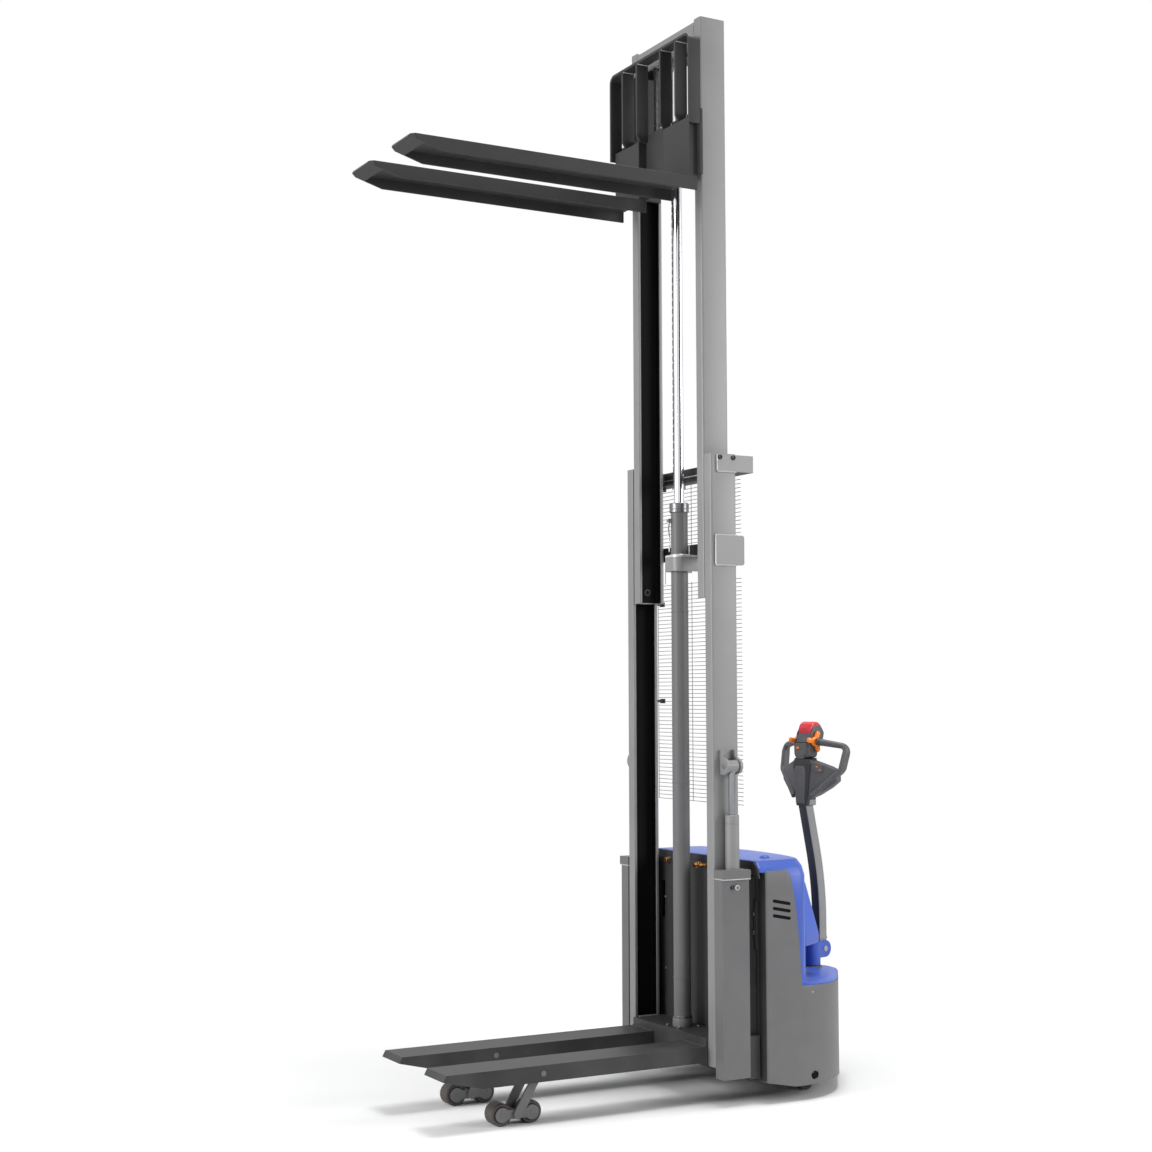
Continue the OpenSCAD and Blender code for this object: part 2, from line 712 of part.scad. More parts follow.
// Side panel's outline seen from the side
module panel_side() {
    polygon([
        [panel_x - 1, skirt_z + 25], [panel_x + 128, skirt_z], [rear_x + 1, skirt_z],
            [rear_x + 1, deck_at(rear_x)],
        [round_x - 6, deck_z], [round_x - 8, deck_z + 45], [round_x - 13, deck_z + 130],
            [round_x - 20, deck_z + 212],
        [round_x - 31, panel_top - 125], [round_x - 47, panel_top - 43], [round_x - 58, panel_top - 10],
        [round_x - 70, panel_top], [panel_x - 1, panel_top]]);
}
vent_len = 86;
vent_h = 13;
skirt_hole_x = 50;
skirt_hole_z = 34;
skirt_hole_r = 16;
deck_screw_x = 45;
deck_screw_z = 28;
deck_screw_r = 4;
// Height of the cover's lower edge in front
cover_edge = panel_top - 5;
module side_panel() {
    color(body_grey) at_mast() difference() {
        intersection() {
            side_profile(-body_half, 0) panel_side();
            linear_extrude(panel_top) difference() {
                polygon(concat([[panel_x, -body_half + return_y], [panel_x, -body_half]], rear_plan(0),
                    [[panel_x + shell_t, 0]]));
                polygon(concat([[panel_x + shell_t, 0], [panel_x + shell_t, -body_half + shell_t]],
                    rear_plan(shell_t)));
                translate([panel_x - 1, -body_half + return_y]) square([shell_t + 2, body_half]);
            }
        }
        span([panel_x - 1, -body_half + shell_t, cover_edge - skin_gap],
            [panel_x + shell_t + 1, 0, panel_top + 1]);
        for (i = [0 : 2]) translate([panel_x + 28, -body_half - 1, panel_top - 122 - i * 27])
            rotate([0, 7, 0]) cube([vent_len - vent_h, shell_t + 2, vent_h]);
        translate([round_x + skirt_hole_x, 0, skirt_z + skirt_hole_z])
            rod_y(skirt_hole_r, -body_half - 1, -body_half + 30);
        translate([round_x + deck_screw_x, 0, deck_z - deck_screw_z])
            rod_y(deck_screw_r + fit, -body_half - 1, -body_half + 30);
    }
}
module side_panel_near() { side_panel(); }
module side_panel_far() { far_side() side_panel(); }

// Blue deck round the steering column
deck_t = 20;
deck_bore_r = column_d / 2 + 6;
skin_gap = 0.3;
deck_inset = shell_t + skin_gap;
deck_step = 8;
// Slab under a plan inset by t, between two heights above the panel's top edge
module deck_slab(t, low, high) {
    intersection() {
        linear_extrude(deck_z + 40) polygon(full_plan(t, round_x - 4));
        side_profile(-body_half, body_half) polygon([
            [round_x - 5, deck_z + high], [rear_x, deck_at(rear_x) + high],
            [rear_x, deck_at(rear_x) + low], [round_x - 5, deck_z + low]]);
    }
}
module steering_deck() {
    color(cover_blue) at_mast() difference() {
        union() {
            deck_slab(deck_inset, deck_step - deck_t, deck_step);
            deck_slab(deck_inset + 12, deck_step - 1, deck_step + 6);
        }
        translate([steer_x, 0, 0]) cylinder(r = deck_bore_r, h = deck_z + 50);
        cover_foot_cut();
    }
}
// Outline of the blue cover at its foot and shoulder, as a plan polygon
function cover_plan(x0, half, deep) = concat([[x0, -half]],
    [for (a = [0 : 10 : 180]) [round_x - 7 + deep * sin(a), -half * cos(a)]], [[x0, half]]);
cover_front = 152;
cover_inset = shell_t + skin_gap;
// How far the cover's rounded rear wall reaches behind its flat sides
cover_reach = 108;
module cover_foot_cut() {
    translate([0, 0, deck_z - 60]) linear_extrude(120)
        polygon(cover_plan(cover_front, body_half - cover_inset, cover_reach));
}
// Solid body of the cover, shrunk by t for the inside
module cover_body(t) {
    translate([0, 0, deck_z - 10 - t]) linear_extrude(panel_top - 15 - deck_z + t) intersection() {
        polygon(cover_plan(cover_front + t, body_half - cover_inset - t, cover_reach - t));
        translate([round_x - 90, -body_half]) square([rear_x - round_x, 2 * body_half]);
    }
    hull() {
        translate([0, 0, panel_top - 26]) linear_extrude(1)
            polygon(cover_plan(cover_front + t, body_half - cover_inset - t, cover_reach - t));
        translate([0, 0, cover_top - 25 - t]) linear_extrude(1)
            polygon(cover_plan(cover_front + t, body_half - 18 - t, cover_reach - 8 - t));
        translate([0, 0, cover_top - 1 - t]) linear_extrude(1)
            polygon(cover_plan(cover_front + 6 + t, body_half - 46 - t, cover_reach - 22 - t));
    }
    // Hump between the cover and the tiller
    hull() {
        translate([round_x, -hump_half + t, cover_foot + t])
            cube([hump_reach - t, 2 * hump_half - 2 * t, hump_edge - t]);
        translate([round_x, -hump_foot_half + t, cover_foot + t])
            cube([90 - t, 2 * hump_foot_half - 2 * t, hump_edge - t]);
        translate([round_x, -hump_half + t, cover_top - hump_top_drop - 4])
            cube([hump_top_reach - t, 2 * hump_half - 2 * t, 4]);
        translate([round_x, -180 + t, cover_top - 30 - t]) cube([110 - t, 360 - 2 * t, 4]);
    }
}
cover_foot = 545;
hump_half = 200;
hump_foot_half = 290;
hump_reach = 200;
hump_top_reach = 150;
hump_top_drop = 106;
hump_edge = 40;
module top_cover() {
    color(cover_blue) at_mast() {
        difference() {
            cover_body(0);
            cover_body(shell_t);
            span([cover_front - 1, -body_half, panel_top - 40], [round_x - 92, body_half, cover_edge]);
            translate([round_x + hump_reach, stop_y, cover_foot + hump_edge]) rotate([0, -hump_lean, 0])
                translate([0, 0, stop_up]) rotate([0, 90, 0]) translate([0, 0, -30])
                    cylinder(r = stop_stem_r + skin_gap, h = 40);
        }
        translate([panel_x + 94, -250, cover_top - 1]) cylinder(r1 = 20, r2 = 12, h = 10);
    }
}

// Chassis frame: bulkhead, wing plates, floor and head plate of the steering
wing_y = mast_half + 16;
side_plate_t = 8;
wing_z = 90;
floor_z = 95;
floor_t = 8;
head_plate_z = wheel_d + 26;
head_plate_t = 12;
bulkhead_x = 140;
bulkhead_t = 8;
bulkhead_top = cover_top - 26;
bearing_r = 60;
// Plate that closes the cover in front and follows its shoulders
module cover_frame() {
    x0 = bulkhead_x + bulkhead_t - 1;
    translate([x0, 0, 0]) rotate([90, 0, 90]) linear_extrude(cover_front - skin_gap - x0) polygon([
        [-body_half + 5, panel_top - 26], [-body_half + 19, cover_top - 25], [-body_half + 47, cover_top - 2],
        [body_half - 47, cover_top - 2], [body_half - 19, cover_top - 25], [body_half - 5, panel_top - 26]]);
}
module chassis_frame() {
    color(dark_grey) at_mast() difference() {
        union() {
            span([bulkhead_x, -wing_y, wing_z - 10], [bulkhead_x + bulkhead_t, wing_y, bulkhead_top]);
            both_sides() span([box_rear, -wing_y - side_plate_t, wing_z], [panel_x, -wing_y, cover_edge - 1]);
            cover_frame();
            both_sides() span([panel_x - side_plate_t, -body_half + return_y - side_plate_t, wing_z],
                [panel_x, -wing_y, cover_edge - 1]);
            both_sides() span([box_rear + 2, -wing_y - 4 * side_plate_t, wing_z + 2],
                 [panel_x - side_plate_t, -wing_y - side_plate_t, wing_z + 158]);
            span([bulkhead_x + bulkhead_t, -wing_y, floor_z], [panel_x + shell_t, wing_y, floor_z + floor_t]);
            intersection() {
                span([panel_x + shell_t, -body_half, floor_z], [520, body_half, floor_z + floor_t]);
                linear_extrude(panel_top) polygon(full_plan(shell_t + skin_gap, panel_x + shell_t));
            }
            span([512, -150, floor_z + floor_t], [520, 150, head_plate_z]);
            both_sides() span([440, -150, floor_z + floor_t], [512, -142, head_plate_z]);
            intersection() {
                span([440, -200, head_plate_z], [rear_x, 200, head_plate_z + head_plate_t]);
                linear_extrude(panel_top) polygon(full_plan(shell_t + skin_gap, panel_x + shell_t));
            }
        }
        translate([steer_x, 0, 0]) cylinder(r = bearing_r + fit, h = 500);
        both_sides() translate([caster_x, -caster_y, 0]) cylinder(r = caster_stem_r + fit, h = 300);
        span([bulkhead_x - 1, outer_tip_y - 1.5, panel_top - 230],
            [bulkhead_x + bulkhead_t + 1, outer_tip_y + 34.5, panel_top - 88]);
    }
}
bay_x = bulkhead_x + bulkhead_t + 14;
bay_z = floor_z + floor_t;
bay_gap = 6;
battery_inner = 60;
battery_h = 470;
post_in = 68;
module battery_pack() {
    color(dark_grey) at_mast() {
        span([bay_x, -wing_y + bay_gap, bay_z], [round_x - 30, battery_inner, bay_z + battery_h]);
        for (y = [-wing_y + bay_gap + post_in, battery_inner - post_in])
            translate([round_x - 90, y, bay_z + battery_h]) cylinder(r = 12, h = 18);
    }
}
tank_h = 260;
pump_r = 62;
pump_h = 190;
pump_neck = 30;
pump_x = bay_x + pump_r + 16;
pump_y = battery_inner + 130;
module hydraulic_power_unit() {
    color(body_grey) at_mast() {
        span([bay_x, battery_inner + 20, bay_z], [round_x - 40, battery_inner + 240, bay_z + tank_h]);
        translate([pump_x, pump_y, bay_z + tank_h]) cylinder(r = pump_r - 7, h = pump_neck);
        translate([pump_x, pump_y, bay_z + tank_h + pump_neck]) cylinder(r = pump_r, h = pump_h);
    }
}
module bulkhead_fittings() {
    color("goldenrod") at_mast() {
        translate([0, -20, bulkhead_top - 12]) {
            rod_x(9, bulkhead_x - 44, bulkhead_x);
            rod_x(13, bulkhead_x - 30, bulkhead_x - 14);
            translate([0, -28, 0]) rod_x(7, bulkhead_x - 36, bulkhead_x);
        }
        translate([0, 225, bulkhead_top - 12]) rod_x(10, col_depth + 5, bulkhead_x);
        translate([bulkhead_x - 2, -wing_y - side_plate_t, bulkhead_top - 18]) rod_y(8, -16, 0);
    }
}
module panel_screws() {
    color(dark_grey) at_mast() both_sides() {
        translate([jack_x - 4, 0, box_top - cap_h - 30])
            rod_y(6, -box_inner_y - box_w - 4, -box_inner_y - box_w);
        translate([round_x + deck_screw_x, -skin_y(deck_screw_x) + 0.5, deck_z - deck_screw_z])
            rod_y(deck_screw_r, 0, 7);
    }
}
stop_y = 120;
stop_up = 115;
stop_stem_r = 9;
// Angle of the hump's rear face from upright
hump_lean = atan((hump_reach - hump_top_reach) / (cover_top - hump_top_drop - cover_foot - hump_edge));
module at_stop() {
    at_mast() translate([round_x + hump_reach, stop_y, cover_foot + hump_edge]) rotate([0, -hump_lean, 0])
        translate([0, 0, stop_up]) rotate([0, 90, 0]) children();
}
module emergency_stop() {
    color(signal_red) at_stop() {
        translate([0, 0, -12]) cylinder(r = stop_stem_r, h = 20);
        translate([0, 0, 8]) cylinder(r = 18, h = 10);
    }
}

// Steering column, drive motor and wheel, turned with the tiller
column_r = column_d / 2;
pivot_u = 46;
ear_in = tiller_w / 2 + 1;
ear_t = 10;
ear_r = 33;
pivot_pin_r = 8;
motor_r = 68;
motor_foot = head_plate_z + head_plate_t + 2;
motor_h = 112;
column_top = pivot_z + 30;
column_foot = motor_foot + motor_h;
column_skirt = deck_at(steer_x) + deck_step + 6 + 3;
module steering_bracket() {
    color(cover_blue) at_steer() difference() {
        union() {
            translate([0, 0, column_skirt]) cylinder(r = column_r, h = column_top - column_skirt);
            translate([0, 0, column_foot]) cylinder(r = 24, h = column_top - column_foot - 40);
            for (y0 = [-ear_in - ear_t, ear_in]) {
                translate([pivot_u, 0, pivot_z]) rod_y(ear_r, y0, y0 + ear_t);
                translate([0, y0, pivot_z - ear_r]) cube([pivot_u, ear_t, 2 * ear_r - 3]);
            }
            translate([pivot_u, 0, pivot_z]) rod_y(pivot_pin_r, -ear_in - ear_t - 2, ear_in + ear_t + 2);
        }
        difference() {
            translate([4, -ear_in, pivot_z - ear_r - 6]) cube([pivot_u + ear_r, 2 * ear_in, 120]);
            translate([pivot_u, 0, pivot_z]) rod_y(pivot_pin_r, -60, 60);
        }
    }
}
gear_half = 18;
gear_w = 36;
module traction_motor() {
    gear_y = -wheel_w / 2 - 4 - 2 * gear_half;
    color(dark_grey) at_steer() {
        translate([0, 0, motor_foot]) cylinder(r = motor_r, h = motor_h);
        translate([0, 0, head_plate_z - 10]) cylinder(r = bearing_r, h = head_plate_t + 12);
        translate([-gear_w, gear_y, wheel_d / 2 - gear_w])
            cube([2 * gear_w, 2 * gear_half, head_plate_z - wheel_d / 2 + gear_w - 10]);
        translate([0, 0, wheel_d / 2]) rod_y(hub_r, -wheel_w / 2 - 4, -4);
        translate([-gear_w, gear_y, head_plate_z - 18]) cube([2 * gear_w, -2 * gear_y - 10, 8]);
    }
}
hub_r = 14;
module drive_wheel() {
    color(roller_black) at_steer() translate([0, 0, wheel_d / 2]) difference() {
        rod_y(wheel_d / 2, -wheel_w / 2, wheel_w / 2);
        rod_y(hub_r + fit, -wheel_w / 2 - 1, -4);
        for (s = [-1, 1]) translate([0, s * wheel_w / 2, 0]) rod_y(wheel_d / 2 - 34, -6, 6);
    }
}

// Tiller arm: straight foot, an arc that leans forward, then a straight neck
bend_z = 600;
bend_r = 1197;
bend_angle = 13.4;
arm_front_u = 22;
neck_z = bend_z + bend_r * sin(bend_angle);
neck_u = arm_front_u - bend_r * (1 - cos(bend_angle));
function arm_line(off) = concat(
    [[arm_front_u + off, pivot_z]],
    [for (a = [0 : bend_angle / 6 : bend_angle + eps])
        [arm_front_u - bend_r * (1 - cos(a)) + off * cos(a), bend_z + bend_r * sin(a) + off * sin(a)]],
    [[neck_u - (arm_top_z - neck_z) * tan(bend_angle) + off / cos(bend_angle), arm_top_z]]);
arm_top_z = head_top - 300;
function reversed(list) = [for (i = [len(list) - 1 : -1 : 0]) list[i]];
module tiller_arm() {
    color(body_grey) at_steer() difference() {
        union() {
            side_profile(-tiller_w / 2, tiller_w / 2)
                polygon(concat(arm_line(0), reversed(arm_line(tiller_deep))));
            translate([pivot_u, 0, pivot_z]) rod_y(24, -tiller_w / 2, tiller_w / 2);
            translate([arm_front_u - 2, -tiller_w / 2 - 2, column_top + 8])
                cube([tiller_deep + 4, tiller_w + 4, 10]);
        }
        translate([pivot_u, 0, pivot_z]) rod_y(pivot_pin_r + fit, -60, 60);
    }
}

// Tiller head in the frame of the steering column
face_u = -62;
head_foot_z = head_top - 336;
wing_axis_u = -28;
wing_axis_z = head_top - 80;
grip_end_u = 47;
grip_end_z = head_top - 99;
// How much deeper the outer bars are than the grips
grip_deep = 8;
// How far the outer bars lean forward towards their foot
grip_lean = 25;
console_half = 38;
// Length of the red switch over the head
cap_len = 76;
module grip_bar(a, b, r) {
    hull() { translate(a) sphere(r = r, $fn = 20); translate(b) sphere(r = r, $fn = 20); }
}
module head_side() {
    grip_bar([wing_axis_u + 6, -console_half - 20, wing_axis_z - 2],
        [grip_end_u, -grip_reach, grip_end_z], grip_r);
    hull() for (u = [grip_end_u - grip_deep, grip_end_u])
        grip_bar([u, -grip_reach, grip_end_z], [u - grip_lean, -grip_reach + 10, head_top - 192], grip_r);
    hull() {
        translate([face_u + 6, -30, head_top - 310]) cube([44, 10, 162]);
        translate([grip_end_u - 48, -grip_reach + 8, head_top - 232]) cube([28, 14, 40]);
    }
}
module tiller_head() {
    color(plastic_grey) at_steer() difference() {
        union() {
            hull() {
                translate([face_u - 1, -30, head_foot_z]) cube([59, 60, 4]);
                translate([face_u - 5, -44, head_top - 170]) cube([63, 88, 4]);
                translate([face_u, -console_half, head_top - 110]) cube([66, 2 * console_half, 4]);
                translate([face_u + 20, -console_half, head_top - 72]) cube([82, 2 * console_half, 2]);
                translate([face_u + 22, -console_half, head_top - 46]) cube([cap_len + 12, 2 * console_half, 2]);
            }
            head_side();
            far_side() head_side();
        }
        side_profile(-tiller_w / 2 - fit, tiller_w / 2 + fit)
            polygon(concat(arm_line(-fit), reversed(arm_line(tiller_deep + fit))));
        translate([wing_axis_u, 0, wing_axis_z]) rod_y(7 + fit, -200, 200);
        both_sides() translate([wing_axis_u, 0, wing_axis_z]) rod_y(53, -console_half - 19, -console_half);
        translate([horn_u - 9, -horn_half - skin_gap, horn_z - skin_gap])
            cube([18, 2 * horn_half + 2 * skin_gap, horn_h + 2 * skin_gap]);
        belly_block(skin_gap, head_top - 60, head_top);
        rocker_place() cube([2 * rocker_deep, rocker_w + rocker_fit, rocker_h + 2 * rocker_swing],
            center = true);
    }
}
// Throttle: one shaft with a three-lobed wing on each side of the head
wing_t = 14;
wing_reach = 36;
wing_lobe_r = 11;
wing_hub_r = 20;
module throttle_wing() {
    side_profile(0, wing_t) union() {
        circle(wing_hub_r);
        for (a = [200, 55, -55]) rotate(a) {
            translate([0, -wing_lobe_r + 3]) square([wing_reach, 2 * wing_lobe_r - 6]);
            translate([wing_reach, 0]) circle(wing_lobe_r);
        }
    }
}
module throttle_wings() {
    color(signal_orange) at_steer() translate([wing_axis_u, 0, wing_axis_z]) {
        rod_y(7, -console_half - 2 - wing_t, console_half + 2 + wing_t);
        both_sides() translate([0, -console_half - 2 - wing_t, 0]) throttle_wing();
    }
}
// Red safety switch over the top of the head
module belly_switch() {
    color(signal_red) at_steer() {
        side_profile(-console_half + 4, console_half - 4) polygon([
            [face_u + 26, head_top - 44], [face_u + 27, head_top - 26], [face_u + 36, head_top - 10],
            [face_u + 54, head_top], [face_u + 74, head_top - 2], [face_u + 26 + cap_len - 8, head_top - 17],
            [face_u + 26 + cap_len, head_top - 44]]);
        belly_block(0, head_top - 50, head_top - 43);
    }
}
// Foot of the red switch, or its pocket when widened by the gap g
module belly_block(g, z0, z1) {
    translate([face_u + 26 - g, -console_half + 4 - g, z0])
        cube([cap_len + 2 * g, 2 * console_half - 8 + 2 * g, z1 - z0]);
}
horn_u = -61;
horn_half = 22;
horn_z = head_top - 150;
horn_h = 34;
module horn_button() {
    color(plastic_grey) at_steer() translate([horn_u - 5, -horn_half, horn_z])
        cube([8, 2 * horn_half, horn_h]);
}
rocker_w = 40;
rocker_h = 32;
rocker_deep = 8;
rocker_turn = 24.3;
rocker_fit = 0.8;
rocker_swing = 1;
rocker_u = -35.7;
rocker_v = -71.4;
rocker_drop = 186;
module rocker_place() {
    translate([rocker_u, rocker_v, head_top - rocker_drop]) rotate([0, 0, rocker_turn]) children();
}
module lift_rocker() {
    color(plastic_grey) at_steer() rocker_place() intersection() {
        cube([2 * rocker_deep - 5, rocker_w, rocker_h], center = true);
        rod_y(rocker_h / 2, -rocker_w, rocker_w);
    }
}

// Casters on both sides of the drive wheel
caster_x = 474;
caster_r = caster_d / 2;
caster_trail = 24;
caster_stem_r = 10;
caster_w = 30;
fork_plate_t = 4;
module caster_fork() {
    color(dark_grey) at_mast() translate([caster_x, -caster_y, 0]) {
        translate([0, 0, caster_d + 4]) cylinder(r = caster_stem_r, h = floor_z + floor_t - caster_d + 6);
        translate([0, 0, caster_d + 4]) cylinder(r = 24, h = floor_z - caster_d - 5);
        for (y0 = [-caster_w / 2 - 2 - fork_plate_t, caster_w / 2 + 2]) {
            translate([-caster_trail, y0, caster_r]) rod_y(14, 0, fork_plate_t);
            translate([-caster_trail - 14, y0, caster_r]) cube([28 + 8, fork_plate_t, caster_r + 8]);
        }
        translate([-caster_trail - 14, -caster_w / 2 - 2 - fork_plate_t, caster_d + 4])
            cube([36 + 16, caster_w + 4 + 2 * fork_plate_t, 4]);
        translate([-caster_trail, 0, caster_r]) rod_y(6, -caster_w / 2 - 2, caster_w / 2 + 2);
    }
}
module caster_wheel() {
    color(roller_black) at_mast() translate([caster_x - caster_trail, -caster_y, caster_r]) difference() {
        rod_y(caster_r, -caster_w / 2, caster_w / 2);
        rod_y(6 + fit, -caster_w / 2 - 1, caster_w / 2 + 1);
    }
}
module caster_fork_near() { caster_fork(); }
module caster_fork_far() { far_side() caster_fork(); }
module caster_wheel_near() { caster_wheel(); }
module caster_wheel_far() { far_side() caster_wheel(); }

chassis_frame();
guide_box_near();
guide_box_far();
side_panel_near();
side_panel_far();
top_cover();
steering_deck();
battery_pack();
hydraulic_power_unit();
lift_jack_barrels();
bulkhead_fittings();
panel_screws();
emergency_stop();
outer_column_near();
outer_column_far();
outer_top_crossmember();
outer_mid_crossmember();
base_crossmember();
leg_near();
leg_far();
lift_cylinder();
mesh_guard();
lift_jack_rods();
lift_jack_lugs();
chain_rear_runs();
inner_column_near();
inner_column_far();
inner_top_crossmember();
lift_rod();
chain_pulleys();
chain_wraps();
mast_rollers();
carriage_plate();
load_backrest();
fork_near();
fork_far();
carriage_rollers_upper();
carriage_rollers_lower();
chain_front_runs();
roller_arm_near();
roller_arm_far();
bogie_near();
bogie_far();
load_roller_near_front();
load_roller_near_rear();
load_roller_far_front();
load_roller_far_rear();
steering_bracket();
traction_motor();
drive_wheel();
tiller_arm();
tiller_head();
throttle_wings();
belly_switch();
lift_rocker();
horn_button();
caster_fork_near();
caster_fork_far();
caster_wheel_near();
caster_wheel_far();
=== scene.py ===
"""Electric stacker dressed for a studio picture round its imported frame.

Inside the classes lengths are millimetres, with x from the mast's front face, y from the centre plane and z
from the floor. The workshop turns them into metres when it makes an object, and the studio is in metres.
"""
from __future__ import annotations

import json
import logging
import math
from dataclasses import dataclass, field
from enum import Enum
from typing import Mapping, Sequence

import bmesh
import bpy
import numpy as np
from mathutils import Matrix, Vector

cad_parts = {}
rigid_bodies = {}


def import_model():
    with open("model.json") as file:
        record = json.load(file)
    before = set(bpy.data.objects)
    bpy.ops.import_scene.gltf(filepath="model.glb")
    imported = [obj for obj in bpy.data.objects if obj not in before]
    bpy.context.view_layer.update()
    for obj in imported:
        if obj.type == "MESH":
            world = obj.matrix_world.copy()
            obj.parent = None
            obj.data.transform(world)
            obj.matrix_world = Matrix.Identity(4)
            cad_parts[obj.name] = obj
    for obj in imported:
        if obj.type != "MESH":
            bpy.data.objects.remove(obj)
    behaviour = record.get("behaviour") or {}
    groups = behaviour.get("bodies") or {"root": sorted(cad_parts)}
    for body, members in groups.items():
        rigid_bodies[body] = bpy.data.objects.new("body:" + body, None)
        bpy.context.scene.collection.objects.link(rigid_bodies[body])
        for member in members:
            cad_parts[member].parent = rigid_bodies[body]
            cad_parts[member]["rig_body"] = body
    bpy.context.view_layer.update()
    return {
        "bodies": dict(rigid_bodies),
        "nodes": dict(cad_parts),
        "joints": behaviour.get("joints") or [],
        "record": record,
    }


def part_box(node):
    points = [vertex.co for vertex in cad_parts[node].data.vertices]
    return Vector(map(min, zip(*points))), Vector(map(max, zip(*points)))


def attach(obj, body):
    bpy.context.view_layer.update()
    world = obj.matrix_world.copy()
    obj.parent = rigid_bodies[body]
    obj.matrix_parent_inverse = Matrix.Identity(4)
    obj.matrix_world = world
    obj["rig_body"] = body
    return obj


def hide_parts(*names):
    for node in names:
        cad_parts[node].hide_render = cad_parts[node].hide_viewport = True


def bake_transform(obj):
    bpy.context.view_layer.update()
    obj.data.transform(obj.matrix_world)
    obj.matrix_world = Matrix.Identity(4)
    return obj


LOG = logging.getLogger("stacker")
MM = 0.001
PHOTO_PIXELS = 1152
LOOSE = "loose"
STRAIGHT = 1.5707  # half the angle between two sides, in radians, over which a corner is left as it is
SAME = 1e-4  # millimetres under which two points of a line are one
SHARP = 32.0  # degrees over which an edge stays sharp
Array = np.ndarray
Point = Sequence[float]
Pair = tuple[float, float]
Triple = tuple[float, float, float]
Colour = tuple[float, float, float, float]
Socket = bpy.types.NodeSocket
BACK, FRONT = (1, 0, 0), (-1, 0, 0)
FAR, NEAR = (0, 1, 0), (0, -1, 0)
UP = (0, 0, 1)


# ---------------- surfaces

@dataclass
class Shell:
    """Closed surface: its points and the faces between them.

    Args:
        points: corner positions, one row each.
        quads: rows of four point numbers.
        caps: faces with any number of corners.
    """

    points: Array
    quads: Array
    caps: list[Array] = field(default_factory=list)

    def outward(self) -> "Shell":
        """Turns the faces outwards, told by the sign of the volume, the sum of the corners' triple products.

        Returns:
            The shell itself.
        """
        a, b, c, d = (self.points[self.quads[:, i]] for i in range(4))
        volume = np.einsum("ij,ij->", a, np.cross(b, c)) + np.einsum("ij,ij->", a, np.cross(c, d))
        for cap in self.caps:
            fan = self.points[cap]
            volume += float(np.sum(np.cross(fan[1:-1], fan[2:]) @ fan[0]))
        return self if volume > 0 else self.flipped()

    def flipped(self) -> "Shell":
        """The same surface with every face turned round."""
        return Shell(self.points, self.quads[:, ::-1], [cap[::-1] for cap in self.caps])

    def moved(self, x: float = 0.0, y: float = 0.0, z: float = 0.0) -> "Shell":
        """The shell shifted by x, y and z."""
        return Shell(self.points + np.array([x, y, z]), self.quads, self.caps)

    def far(self) -> "Shell":
        """The shell mirrored to the other side of the centre plane."""
        return Shell(self.points * np.array([1.0, -1.0, 1.0]), self.quads, self.caps).flipped()

    def turned(self, degrees: float) -> "Shell":
        """The shell turned about the upright axis."""
        turn = np.array(Matrix.Rotation(math.radians(degrees), 3, "Z"))
        return Shell(self.points @ turn.T, self.quads, self.caps)


def both(*shells: Shell) -> list[Shell]:
    """The shells and their mirror images across the centre plane."""
    return [*shells, *(shell.far() for shell in shells)]


def joined(shells: Sequence[Shell]) -> Shell:
    """Joins shells to one surface.

    Args:
        shells: the closed surfaces.

    Returns:
        One shell with all their points and faces, in the same order.
    """
    starts = np.cumsum([0] + [len(shell.points) for shell in shells])
    quads = np.concatenate([shell.quads + start for shell, start in zip(shells, starts)])
    caps = [cap + start for shell, start in zip(shells, starts) for cap in shell.caps]
    return Shell(np.concatenate([shell.points for shell in shells]), quads, caps)


def unit(vectors: Array) -> Array:
    """Vectors brought to length one."""
    return vectors / np.maximum(np.linalg.norm(vectors, axis=-1, keepdims=True), 1e-12)


def rounded(points: Sequence[Point], radii: float | Sequence[float], steps: int = 5, closed: bool = True) -> Array:
    """Line through the points with its corners rounded, in two or three dimensions.

    With u and v the directions to both neighbours and h half the angle between them, the arc's centre lies
    r / sin h along their bisector, and the arc starts r / tan h along u.

    Args:
        points: corners in order.
        radii: one radius, or one for each corner.
        steps: pieces in each arc.
        closed: whether the last corner joins the first.

    Returns:
        The points of the rounded line.
    """
    p = np.asarray(points, float)
    r = np.array(np.broadcast_to(np.asarray(radii, float), (len(p),)))
    u, v = unit(np.roll(p, 1, 0) - p), unit(np.roll(p, -1, 0) - p)
    if not closed:
        r[[0, -1]] = 0.0
        u[0], v[-1] = -v[0], -u[-1]
    half = np.arccos(np.clip(np.einsum("ij,ij->i", u, v), -1, 1)) / 2
    r = np.where(half > STRAIGHT, 0.0, r)
    centre = p + unit(u + v) * (r / np.sin(half))[:, None]
    start = unit(p + u * (r / np.tan(half))[:, None] - centre)
    end = unit(p + v * (r / np.tan(half))[:, None] - centre)
    across = unit(end - start * np.einsum("ij,ij->i", start, end)[:, None])
    turn = (math.pi - 2 * half)[:, None] * np.linspace(0, 1, steps + 1)
    arc = np.cos(turn)[..., None] * start[:, None] + np.sin(turn)[..., None] * across[:, None]
    line = (centre[:, None] + r[:, None, None] * arc).reshape(-1, p.shape[1])
    line[np.repeat(r == 0, steps + 1)] = np.repeat(p[r == 0], steps + 1, axis=0)
    step = np.linalg.norm(line - np.roll(line, 1, 0), axis=1)
    if not closed:
        step[0] = 1.0
    return line[step > SAME]


def oblong(x0: float, y0: float, x1: float, y1: float, radii: float | Sequence[float], steps: int = 5) -> Array:
    """Rounded rectangle through the corners (x0, y0), (x1, y0), (x1, y1) and (x0, y1)."""
    return rounded([(x0, y0), (x1, y0), (x1, y1), (x0, y1)], radii, steps)


